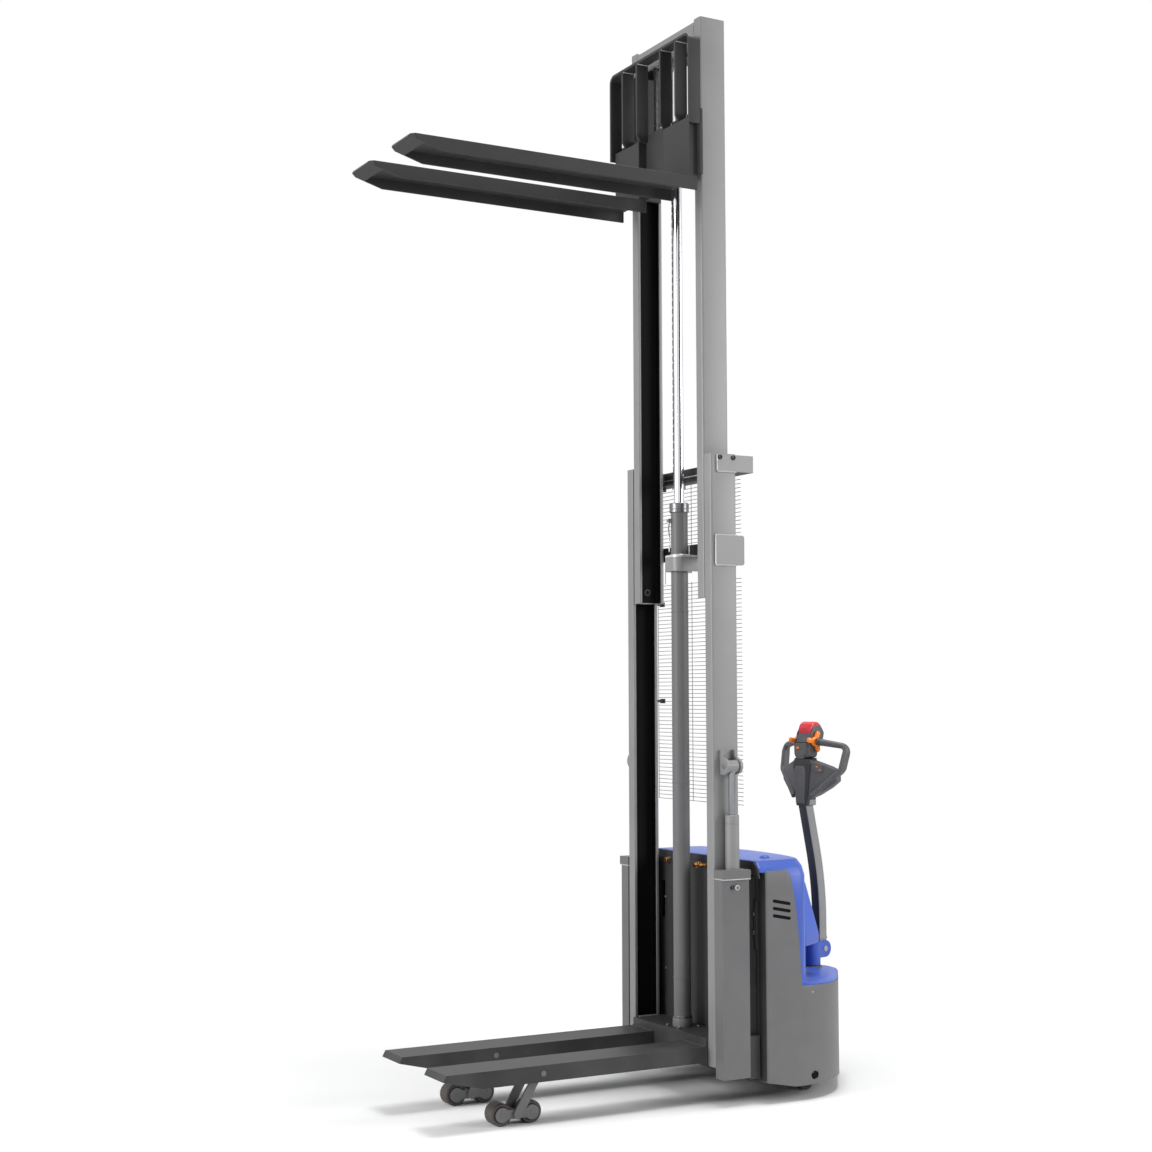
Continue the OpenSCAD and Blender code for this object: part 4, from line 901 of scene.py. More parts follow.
@dataclass
class OuterMast(Assembly):
    """Outer columns with their crossmembers."""

    end_plate: float = 8.0
    bar: float = 8.0
    bar_high: float = 64.0
    clamp_half: float = 54.0
    clamp_bore: float = 33.6
    cylinder_x: float = 54.0
    tab_y: Pair = (-113.0, -87.0)
    weld_size: float = 3.2
    base_weld: float = 3.4

    def build(self) -> None:
        """Builds the columns, the top and middle crossmembers and the base."""
        for side in ("near", "far"):
            Column(self.shop, "outer_column_" + side).build()
        self.face = self.box("outer_column_near")[0][1]
        self.plate = self.face - self.end_plate
        self._top()
        self._middle()
        self.softened("base_crossmember", Finish.DARK, 1.6)
        self._base_details()

    def _end_plates(self, outline: Array) -> list[Shell]:
        """Both end plates of a crossmember, against the columns' outer faces."""
        return both(prism(outline, "y", self.plate, self.face))

    def _rear_bar(self, rear: float, low: float, high: float) -> Shell:
        """Bar across both end plates, from one height to another."""
        end = self.plate + 0.5
        return prism(oblong(rear - self.bar, end, rear, -end, 1.5), "z", low, high)

    def _top(self) -> None:
        """Top crossmember: end plates screwed to the columns, a rear bar, a shelf and two chain tabs."""
        low, high = self.box("outer_top_crossmember")
        face, plate, foot = self.face, self.plate, high[2] - self.bar_high
        z0, z1, rear, front = low[2], high[2], high[0], low[0]
        shelf = block((122, face, foot), (rear - self.bar, -face, foot + self.bar))
        # The rear bar and shelf take the pulleys' dark iron as painted shade, for the shadow they lie in.
        dark = [self._rear_bar(rear, foot, z1), shelf]
        self.piece("top_bar", dark, Finish.PULLEY, rides="load_frame", bevel=1.2)
        tab = rounded([(92, z0), (140, z0), (140, foot + 1), (130, foot + 1), (130, z0 + 10), (92, z0 + 10)],
                      [2, 4, 0, 0, 3, 2])
        shells = self._end_plates(oblong(front, foot, rear, z1, [2, 7, 7, 2])) + both(prism(tab, "y", *self.tab_y))
        self.piece("top_crossmember", shells, Finish.MAST, ["outer_top_crossmember"], bevel=1.2)
        # The pale line and beads are painted highlights along the crossmember's edges and welds.
        line = block((rear - 9.2, face, foot + 30), (rear - 7, -face, foot + 34))
        beads = welds(self.weld_size, (front, plate + 3, foot, 113, plate + 3, foot),
                      (front, plate + 4, foot + 2, front, plate + 4, z1 - 2))
        self.piece("top_beads", [line, *beads], Finish.HIGHLIGHT_BEAD, rides="load_frame")
        heads: list[Shell] = []
        for x in (front + 10, 96.0):
            heads += screws([(x, plate, z1 - 11)], NEAR, 8.4, 5)
            heads.append(washer((x, plate - 0.1, z1 - 11), NEAR, 10, 6, 1.2))
        self.piece("top_crossmember_screws", both(*heads), Finish.PULLEY, rides="load_frame")

    def _middle(self) -> None:
        """Middle crossmember: end plates, rear bar, and the strap and lid that clamp the lift cylinder."""
        high = self.box("outer_mid_crossmember")[1]
        top, rear, side, h = high[2], high[0], self.plate + 3, self.clamp_half
        foot, shelf = top - 112, top - self.bar_high
        bar = self._rear_bar(rear, shelf, top - self.bar)
        # The rear bar takes the pulleys' dark iron as painted shade, for the shadow it lies in.
        self.piece("middle_bar", [bar], Finish.PULLEY, rides="load_frame", bevel=1.2)
        axis = np.array([self.cylinder_x, 0.0])
        strap = rounded([(rear - 2, h - 8), (rear - 2, h), (6, h), (6, -h), (rear - 2, -h), (rear - 2, 8 - h)],
                        [1, 1, 36, 36, 1, 1], 9, closed=False)
        a = np.radians(np.linspace(270, 90, 25))[:, None]
        strap = np.concatenate([strap, axis + self.clamp_bore * np.hstack([np.cos(a), np.sin(a)])])
        shells = self._end_plates(oblong(17, foot, rear, top, [3, 9, 9, 3]))
        shells.append(prism(strap, "z", shelf - 55, shelf))
        self.piece("middle_crossmember", shells, Finish.MAST, ["outer_mid_crossmember"], bevel=1.2)
        lid = oblong(6, -h, rear - 1, h, [36, 1, 1, 36], 9)
        # The pale beads, the band round the lid and the ring round the bore are painted highlights on the welds and
        # edges.
        beads = welds(self.weld_size, (17, side, foot, 17, side, top), (17, side, top, 113, side, top),
                      (17, side, foot, 113, side, foot), (rear - 9, -h, shelf + 2, rear - 9, -h, top - 10))
        beads += [band(lid, axis + self.clamp_bore * unit(lid - axis), shelf, shelf + 8),
                  lathe([(33.4, 7), (39, 8), (37, 11), (33.4, 13)], (*axis, shelf), UP, 48, ring=True)]
        self.piece("middle_beads", beads, Finish.HIGHLIGHT_BEAD, rides="load_frame")

    def _base_details(self) -> None:
        """Beads where the columns and legs meet the base, and the bolts on its top."""
        low, high = self.box("base_crossmember")
        y, top = low[1] + 2, high[2]
        beads = welds(self.base_weld, (2, y, low[2] + 4, 2, y, top), (14, y, top, 98, y, top))
        self.piece("base_welds", beads, Finish.MAST, rides="load_frame")
        bolts = screws([(x, y, top) for x, y in ((100, 40), (100, -40), (12, 40), (12, -40))], UP, 7, 6)
        self.piece("base_bolts", bolts, Finish.SCREW, rides="load_frame")


@dataclass
class LiftCylinder(Assembly):
    """Lift cylinder in the middle of the mast, with its rod, gland and bleed pipe."""

    x: float = 54.0
    barrel: float = 33.0
    rod: float = 19.0
    gland_long: float = 37.0
    gland_screws: tuple[float, ...] = (20.0, 110.0, 200.0, 290.0)

    def build(self) -> None:
        """Turns the barrel, gland, wiper and rod, and bends the bleed pipe."""
        low, high = self.box("lift_cylinder")
        foot, top, b = low[2], high[2], self.barrel
        gland = top - self.gland_long
        profile = [(b + 1, 0), (b + 5, 1), (b + 5, 30), (b + 3.5, 33), (b, 34)]
        for z in (foot + 183, foot + 925, top - 426):
            profile += [(b, z - foot - 0.6), (b + 1, z - foot), (b + 1.2, z - foot + 2.5), (b + 1, z - foot + 5),
                        (b, z - foot + 5.6)]
        profile += [(b, gland - foot), (b - 2, gland - foot + 1), (20, gland - foot + 1)]
        self.piece("lift_barrel", [self._turned(profile, foot)], Finish.BODY, ["lift_cylinder"])
        self._gland(foot, gland)
        wiper = lathe([(self.rod + 0.1, 0), (25, 0), (24, 2.4), (self.rod + 0.4, 3.2)], (self.x, 0, top - 1.5), UP,
                      40, ring=True)
        self.piece("lift_wiper", [wiper], Finish.WHEEL, rides="load_frame")
        self._bleed(gland - 33)
        low, high = self.box("lift_rod")
        r, tall = self.rod, high[2] - low[2]
        rod = self._turned([(r - 1, 0), (r, 1), (r, tall - 8), (r - 2, tall - 7), (r - 2, tall)], low[2])
        self.piece("lift_rod.polished", [rod], Finish.CHROME, ["lift_rod"])

    def _turned(self, profile: Sequence[Point], foot: float, ring: bool = False) -> Shell:
        """Profile turned about the cylinder's axis, its heights counted from the foot."""
        return lathe(profile, (self.x, 0, foot), UP, 56, ring)

    def _gland(self, foot: float, gland: float) -> None:
        """Collar at the barrel's foot, and the gland with its four notches.

        Args:
            foot: height of the barrel's foot.
            gland: height of the gland's foot.
        """
        b = self.barrel
        collar = [(b, 34), (b + 3.6, 34.4), (b + 3.6, 40), (b + 2.6, 41.5), (b, 42)]
        nut = [(20, 0), (b + 3, 0), (b + 5, 1.5), (b + 5, 11), (b + 3.8, 12), (b + 3.8, 14), (b + 5, 15),
               (b + 5, 34), (b + 3, 37), (26, 37), (24, 35.5), (20, 35.5)]
        shells = [self._turned(collar, foot, True), self._turned(nut, gland, True)]
        notch = [(4.2, -2), (4.2, 0.5), (3.4, 0.9), (3.2, -1)]
        for a in np.radians(self.gland_screws):
            spot = (self.x + (b + 4.6) * math.cos(a), (b + 4.6) * math.sin(a), gland + 25)
            shells.append(lathe(notch, spot, (math.cos(a), math.sin(a), 0), 12))
        self.piece("lift_gland", shells, Finish.ROLLER, rides="load_frame")

    def _bleed(self, z: float) -> None:
        """Bleed screw with a thin pipe back to the middle crossmember.

        Args:
            z: height of the screw.
        """
        x = self.x - self.barrel
        plug = [(8, -2), (8, 5), (7, 6), (5, 6.5), (5, 12), (6.5, 12.5), (6.5, 17), (5.5, 18)]
        shells = [lathe(plug, (x, 8, z), FRONT, 6), lathe([(5, -1), (5, 9), (4, 10)], (x - 9, 8, z), UP, 12),
                  tube([(x - 9, 8, z + 2), (x - 9, 8, z - 14), (x - 3, 22, z - 26), (x + 4, 27, z - 60),
                        (x + 4, 27, z - 118)], 2.6, 8, 8, (1, 0.1, 0))]
        self.piece("bleed_pipe", shells, Finish.SCREW, rides="load_frame")


@dataclass
class InnerMast(Assembly):
    """Inner columns, their head crossmember, the chain pulleys and the mast rollers."""

    pulley_y: float = 100.0
    cylinder_x: float = 54.0
    weld_size: float = 2.6
    roller_wide: float = 29.0

    def build(self) -> None:
        """Builds everything that rides on the inner mast."""
        for side in ("near", "far"):
            Column(self.shop, "inner_column_" + side).build()
        self.softened("inner_top_crossmember", Finish.MAST, 1.2)
        low, high = self.box("inner_top_crossmember")
        y, z0, z1 = low[1] + 1, low[2], high[2]
        beads = welds(self.weld_size, (1, y, z0, 1, y, z1), (112, y, z0, 112, y, z1))
        self.piece("inner_head_welds", beads, Finish.MAST, rides="inner_mast")
        nut = [(13, 0), (13, 9), (11, 11), (8, 11), (7, 16), (1, 16.5)]
        self.piece("lift_rod_nut", [lathe(nut, (self.cylinder_x, 0, z1 - 36), UP, 6)], Finish.SCREW,
                   rides="inner_mast")
        self._pulleys()
        self._rollers()

    def _pulleys(self) -> None:
        """Grooved pulleys with a hub, and washers and pins at their cheeks."""
        low, high = self.box("chain_pulleys")
        x, _, z = (low + high) / 2
        rim = high[2] - z
        half = [(12.2, -11), (17, -11), (18, -9), (25, -8), (rim - 6, -10.5), (rim - 1, -12), (rim, -11.3),
                (rim - 0.6, -10.2), (rim - 8.6, -9.6)]
        pulley = wheel(half, (x, -self.pulley_y, z))
        self.piece("pulley_wheels", both(pulley), Finish.PULLEY, ["chain_pulleys"])
        pins: list[Shell] = []
        head = [(12, 0), (12, 3), (10.5, 4.5), (3, 4.5), (1, 3.6)]
        for side in (-1, 1):
            pins.append(washer((x, side * 20 - self.pulley_y, z), (0, side, 0), 17, 4, 2))
            pins.append(lathe(head, (x, side * 21 - self.pulley_y, z), (0, side, 0), 28))
        self.piece("pulley_pins", both(*pins), Finish.SCREW, rides="inner_mast")

    def _rollers(self) -> None:
        """Rollers at the foot of the inner columns, and the heads of their pins."""
        low, high = self.box("mast_rollers")
        x, z, wide = (low[0] + high[0]) / 2, (low[2] + high[2]) / 2, self.roller_wide
        shells = [roller((high[0] - low[0]) / 2, wide, (x, low[1] + wide / 2, z)),
                  lathe([(12, 0), (12, wide), (12, 44.9)], (x, low[1], z), FAR, 28)]
        self.piece("mast_wheel_pair", both(*shells), Finish.ROLLER, ["mast_rollers"])
        head = [(14, 0), (14, 0.4), (13.4, 0.6), (8, 0.6), (7.4, 0.3), (1, 0.3)]
        face = self.box("inner_column_near")[0][1] + 12
        self.piece("mast_wheel_pins", both(lathe(head, (x, face, z), FAR, 28)), Finish.DARK, rides="inner_mast")


# ---------------- chains

@dataclass
class LiftChains(Assembly):
    """Leaf chains: front runs to the carriage, rear runs to the outer mast, and wraps over the pulleys."""

    y: float = 100.0
    pitch: float = 15.875
    plate: float = 2.4
    deep: float = 5.9
    half: float = 9.0
    pulley_r: float = 40.0
    pin_r: float = 2.4
    slack: float = 0.095

    def build(self) -> None:
        """Builds both runs and the wraps.
        """
        for node, name, lower, finish, slack in (
                ("chain_front_runs", "front_chain", "fork_carriage", Finish.CHAIN, 0.0),
                ("chain_rear_runs", "rear_chain", "load_frame", Finish.SCREW, self.slack)):
            low, high = self.box(node)
            shells = both(*self._run((low[0] + high[0]) / 2, low[2], high[2]))
            piece = self.piece(name, shells, finish, [node], rides=LOOSE)
            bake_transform(piece)
        self.piece("chain_over_pulleys", both(*self._wrap()), Finish.CHAIN, ["chain_wraps"])
        self._anchors()

    def _links(self, count: int) -> Shell:
        """Plates of a straight run that starts at zero and goes up, waisted between their rounded ends.

        Even links hold the outer and middle plates and odd links the two between them, as on a leaf chain.

        Args:
            count: how many links.

        Returns:
            The plates, one closed solid each.
        """
        n = 16
        t = np.linspace(0, 2 * math.pi, n, endpoint=False)
        s = np.sin(t)
        waist = self.deep * np.cos(t) * (1 - 0.14 * np.exp(-(s * 2.6) ** 2))
        sides = np.linspace(-self.half + self.plate / 2, self.half - self.plate / 2, 5)
        row = np.concatenate([np.repeat(np.arange(0, count, 2), 3), np.repeat(np.arange(1, count, 2), 2)])
        lane = np.concatenate([np.tile(sides[[0, 2, 4]], (count + 1) // 2), np.tile(sides[[1, 3]], count // 2)])
        points = np.empty((len(row), 2, n, 3))
        points[..., 0] = waist
        points[..., 1] = lane[:, None, None] + (np.array([-0.5, 0.5]) * self.plate)[None, :, None]
        points[..., 2] = s * 6.4 + np.sign(s) * self.pitch / 2 + (row[:, None, None] + 0.5) * self.pitch
        i = np.arange(n)
        quad = np.stack([i, (i + 1) % n, (i + 1) % n + n, i + n], -1)
        quads = (quad[None] + 2 * n * np.arange(len(row))[:, None, None]).reshape(-1, 4)
        caps = [cap + 2 * n * k for k in range(len(row)) for cap in (i, i[::-1] + n)]
        return Shell(points.reshape(-1, 3), quads[:, ::-1], caps)

    def _pin(self, x: float, z: float) -> Shell:
        """Pin through the chain at depth x and height z."""
        return lathe(even([(self.pin_r, -self.half - 0.9)]), (x, -self.y, z), FAR, 8)

    def _run(self, x: float, low: float, high: float) -> list[Shell]:
        """Straight run of whole links, stretched to its length.

        Args:
            x: depth of the run.
            low: height of its lower end.
            high: height of its upper end.

        Returns:
            The plates and the pins.
        """
        count = max(2, round((high - low) / self.pitch))
        links = self._links(count)
        links.points = links.points * np.array([1, 1, (high - low) / (count * self.pitch)])
        pins = [self._pin(x, low + (i + 0.02) * (high - low) / count) for i in range(1, count)]
        return [links.outward().moved(x, -self.y, low), *pins]

    def _wrap(self) -> list[Shell]:
        """Half turn over a pulley: height h along the chain becomes the angle h / r, from front to rear.

        Returns:
            The plates and the pins.
        """
        low, high = self.box("chain_pulleys")
        x, _, z = (low + high) / 2
        r = self.pulley_r
        count = round(math.pi * r / self.pitch)
        links = self._links(count)
        angle = math.pi - links.points[:, 2] / (count * self.pitch) * math.pi
        reach = r - links.points[:, 0]
        turned = np.stack([x + reach * np.cos(angle), links.points[:, 1] - self.y, z + reach * np.sin(angle)], -1)
        pins = [self._pin(x - r * math.cos(a), z + r * math.sin(a))
                for a in (i * math.pi / count for i in range(0, count + 1))]
        return [Shell(turned, links.quads, links.caps).outward(), *pins]

    def _anchors(self) -> None:
        """Threaded anchor bolts with nuts at the fixed ends of the chains."""
        for name, node, body, reach in (("front_anchors", "chain_front_runs", "fork_carriage", 26),
                                        ("rear_anchors", "chain_rear_runs", "load_frame", 10)):
            low = self.box(node)[0]
            x, y, z = low[0] + 6, -self.y, low[2]
            bolt = [(5, -reach - 14), (6, -reach - 13), (6, 0), (5, 1)]
            nut = [(10, -reach - 9), (10.5, -reach - 8), (10.5, -reach - 1), (9, -reach)]
            shells = [lathe(bolt, (x, y, z), UP, 16), lathe(nut, (x, y, z), UP, 6),
                      block((x - 5, y - 8, z), (x + 5, y + 8, z + 12))]
            self.piece(name, both(*shells), Finish.SCREW, rides=body)


# ---------------- carriage

@dataclass
class Carriage(Assembly):
    """Fork carriage with its load backrest, forks and rollers."""

    bar: float = 11.0
    bend: float = 34.0
    slats: tuple[float, ...] = (200.0, 89.0)
    ledge: float = 253.0
    fork_low: float = 230.0
    roller_wide: float = 28.0

    def build(self) -> None:
        """Builds everything that rides on the carriage."""
        self.softened("carriage_plate", Finish.DARK, 1.6)
        self.plate = self.box("carriage_plate")[0]
        self._backrest()
        for side in ("near", "far"):
            self.softened("fork_" + side, Finish.DARK, 2.2)
        self._fork_welds()
        for node in ("carriage_rollers_upper", "carriage_rollers_lower"):
            low, high = self.box(node)
            centre = ((low[0] + high[0]) / 2, low[1] + self.roller_wide / 2, (low[2] + high[2]) / 2)
            shells = both(roller((high[0] - low[0]) / 2, self.roller_wide, centre))
            self.piece(node + ".turned", shells, Finish.ROLLER, [node])

    def _backrest(self) -> None:
        """Arch of flat bar bent at its top corners, four upright slats and their welds."""
        low, high = self.box("load_backrest")
        x0, x1, top, t = low[0], high[0], high[2], self.bar
        ledge, side, crown, back = self.plate[2] + self.ledge, high[1] - t / 2, top - t / 2, x1 - 4.2
        path = rounded([(x0, -side, ledge - 60), (x0, -side, crown), (x0, side, crown), (x0, side, ledge - 60)],
                       self.bend - t / 2, 10, closed=False)
        shells = [sweep(path, oblong(-t / 2, 0, t / 2, x1 - x0, 1.6, 3), BACK)]
        beads: list[Shell] = []
        for y in self.slats:
            outline = rounded([(x0, ledge - 6), (x0 + 14, ledge - 30), (back - 0.2, ledge - 30), (back - 0.2, ledge),
                               (x1, ledge + 2), (x1, top - t), (x0, top - t)], [6, 2, 0, 0, 2, 1, 1], 3)
            y0, y1, heel = -y - t / 2, -y + t / 2, self.plate[0]
            shells += both(prism(outline, "y", y0, y1))
            beads += both(weld((x0 + 3, y0, top - t), (x1 - 3, y0, top - t), 2.6, FAR),
                          weld((x0 + 3, y1, top - t), (x1 - 3, y1, top - t), 2.6, FAR),
                          weld((heel, y0, ledge - 28), (heel, y0, ledge - 2), 2.4, FAR))
        self.piece("backrest", shells, Finish.DARK, ["load_backrest"], bevel=0.9)
        # The slats' pale beads are painted highlights on their welds.
        self.piece("backrest_beads", beads, Finish.HIGHLIGHT_BEAD, rides="fork_carriage")

    def _fork_welds(self) -> None:
        """Weld beads where the fork shanks meet the plate and the fork tops."""
        low, high = self.box("fork_near")
        heel, y0, y1, top = self.plate[0], low[1], high[1], high[2]
        fork_top = top - self.fork_low
        shells = both(weld((heel, y0 + 2, fork_top + 6), (heel, y0 + 2, top - 3), 3, FAR),
                      weld((heel, y1 - 2, fork_top + 6), (heel, y1 - 2, top - 3), 3, FAR),
                      weld((heel - 33, y0 + 4, top), (heel - 33, y1 - 4, top), 0.4, UP),
                      weld((heel - 35, y0 + 3, fork_top), (heel - 35, y1 - 3, fork_top), 3.4, UP))
        self.piece("fork_welds", shells, Finish.DARK, rides="fork_carriage")


# ---------------- guard

@dataclass
class WireGuard(Assembly):
    """Wire guard behind the mast: level wires with free ends, uprights and clips."""

    x: float = 150.0
    near: float = -286.0
    far: float = 317.0
    pitch: float = 15.5
    wire: float = 1.2
    column_rear: float = 113.0

    def build(self) -> None:
        """Builds both fields, the uprights between and beside them and the clips."""
        low, high = self.box("mesh_guard")
        middle = self.box("outer_mid_crossmember")[1][2]
        upper_foot, lower_top = middle - 14, middle - 152
        shells = self._field(upper_foot, high[2]) + self._field(low[2] + self.wire, lower_top)
        for y in (-200.0, 60.0, self.far - 2):
            shells += [self._upright(y, upper_foot, high[2]), self._upright(y, low[2], lower_top)]
        shells += [self._upright(y, lower_top, upper_foot) for y in (-200.0, self.far - 60)]
        self.piece("guard_wires", shells, Finish.WIRE, ["mesh_guard"], sharp=60)
        self._clips((low[2] + 381, lower_top - 90), high[2])

    def _field(self, low: float, high: float) -> list[Shell]:
        """Level wires, a pitch apart: a grid of six-sided rings at both ends of each.

        Args:
            low: height of the lowest wire.
            high: height that no wire is above.

        Returns:
            The wires.
        """
        count = int((high - low) // self.pitch) + 1
        ring = oval(self.wire, self.wire, 6)
        rows = np.empty((count, 2, 6, 3))
        rows[..., 0] = self.x + ring[:, 0]
        rows[..., 1] = np.array([self.near, self.far])[:, None]
        rows[..., 2] = low + ring[:, 1] + self.pitch * np.arange(count)[:, None, None]
        return [net(row) for row in rows]

    def _upright(self, y: float, low: float, high: float) -> Shell:
        """Straight upright wire in front of the level ones."""
        x = self.x - 2 * self.wire
        return tube([(x, y, low), (x, y, high)], self.wire, sides=6, ref=BACK)

    def _clips(self, heights: Sequence[float], top: float) -> None:
        """Clips that hold the guard to the rear of the far column.

        Args:
            heights: where the clips start.
            top: top of the guard, where a plate joins it to the top crossmember.
        """
        x, tip = self.x, self.box("outer_column_near")[1][1]
        shells: list[Shell] = []
        for z in heights:
            shells += [block((x - 4.5, tip - 38, z), (x + 4, tip - 10, z + 18)),
                       block((self.column_rear, tip - 20, z + 4), (x - 4.5, tip - 14, z + 14)),
                       *screws([(x + 4, tip - 24, z + 9)], BACK, 4.5, 3)]
        shelf = self.box("outer_top_crossmember")[1][2] - 64
        shells.append(block((x - 1.5, tip - 10, top - 16), (x + 8, tip, shelf)))
        self.piece("guard_clips", [shell.far() for shell in shells], Finish.DARK, rides="load_frame", bevel=0.6)


# ---------------- drive unit

@dataclass
class InitialLift(Assembly):
    """Guide boxes beside the mast with their lift cylinders, rods, lugs and lids."""

    jack: Pair = (62.0, 341.0)
    lid_high: float = 33.0

    def build(self) -> None:
        """Builds both sides."""
        for side in ("near", "far"):
            self.softened("guide_box_" + side, Finish.BODY, 1.8)
        self._barrels()
        self._rods()
        self._lids()

    def _barrels(self) -> None:
        """Barrels with a groove near their top, and the wipers on them."""
        x, y = self.jack
        low, high = self.box("lift_jack_barrels")
        foot, top = low[2], high[2]
        seat, tall = self.box("guide_box_near")[1][2] - foot, top - foot
        barrel = [(20, 0), (21, 1), (21, seat - 1), (26, seat - 1), (26, tall - 34), (24.8, tall - 33.4),
                  (24.8, tall - 30.6), (26, tall - 30), (26, tall - 2), (24, tall), (14, tall)]
        self.piece("jack_barrels", both(lathe(barrel, (x, -y, foot), UP, 48)), Finish.MAST, ["lift_jack_barrels"])
        seal = lathe([(12.7, 0), (17, 0), (16, 2.2), (12.9, 2.6)], (x, -y, top - 1.6), UP, 32, ring=True)
        self.piece("jack_wipers", both(seal), Finish.WHEEL, rides="chassis")

    def _rods(self) -> None:
        """Chrome rods, and the eyes, lugs and pins that hold them to the mast."""
        x, y = self.jack
        low, high = self.box("lift_jack_rods")
        eye = high[2] - 22
        rod = lathe([(11.5, 0), (12.5, 1), (12.5, eye - low[2] - 14)], (x, -y, low[2]), UP, 44)
        self.piece("jack_rods", both(rod), Finish.CHROME, ["lift_jack_rods"])
        drum = even([(0.6, -21.8), (16, -21.8), (19.8, -21.6), (22, -19.6)])
        neck = [(13, -26), (15, -24), (15, -16)]
        eyes = both(lathe(drum, (x, -y, eye), BACK, 44), lathe(neck, (x, -y, eye), UP, 32))
        self.piece("jack_eyes", eyes, Finish.MAST, rides="load_frame", bevel=0.5)
        self.softened("lift_jack_lugs", Finish.MAST, 1.6)
        pin = [(4, 0), (9.5, 0), (9.5, 2.4), (8.6, 3.2), (1, 3.2)]
        pins = both(lathe(pin, (self.box("lift_jack_lugs")[0][0] + 3.1, -y, eye), FRONT, 28))
        self.piece("jack_pins", pins, Finish.SCREW, rides="load_frame")

    def _lids(self) -> None:
        """Seam under each guide box's lid and the ring below it, pale as painted highlights, and the bore, dark as
        painted shade.
        """
        low, high = self.box("guide_box_near")
        rim = high[2] - self.lid_high
        outline = oblong(low[0], low[1], high[0], high[1], [3, 3, 1, 1])
        line = band(offset(outline, -0.6), offset(outline, 3), rim - 1.6, rim + 1.4)
        # The pale seam under the lid is a painted highlight along the lid's edge.
        self.piece("box_lid_seam_highlights", both(line), Finish.HIGHLIGHT_BEAD, rides="chassis")
        # The dark disc in the bore is painted shade, for the dark inside of the hole.
        bore = lathe([(7.5, 0), (7.5, 0.8), (5, 0.8), (4.6, -0.2)], (44, low[1] + 12.2, high[2] - 63), NEAR, 28)
        self.piece("box_bore_shades", both(bore), Finish.SHADE, rides="chassis")
        # The pale ring round the panel screw is a painted highlight.
        ring = lathe([(6.6, 0), (9.6, 0), (9.6, 2.0), (8.6, 2.8), (6.6, 2.8)], (58, low[1], 795), NEAR, 28,
                     ring=True)
        self.piece("box_ring_highlights", both(ring), Finish.HIGHLIGHT_BEAD, rides="chassis")


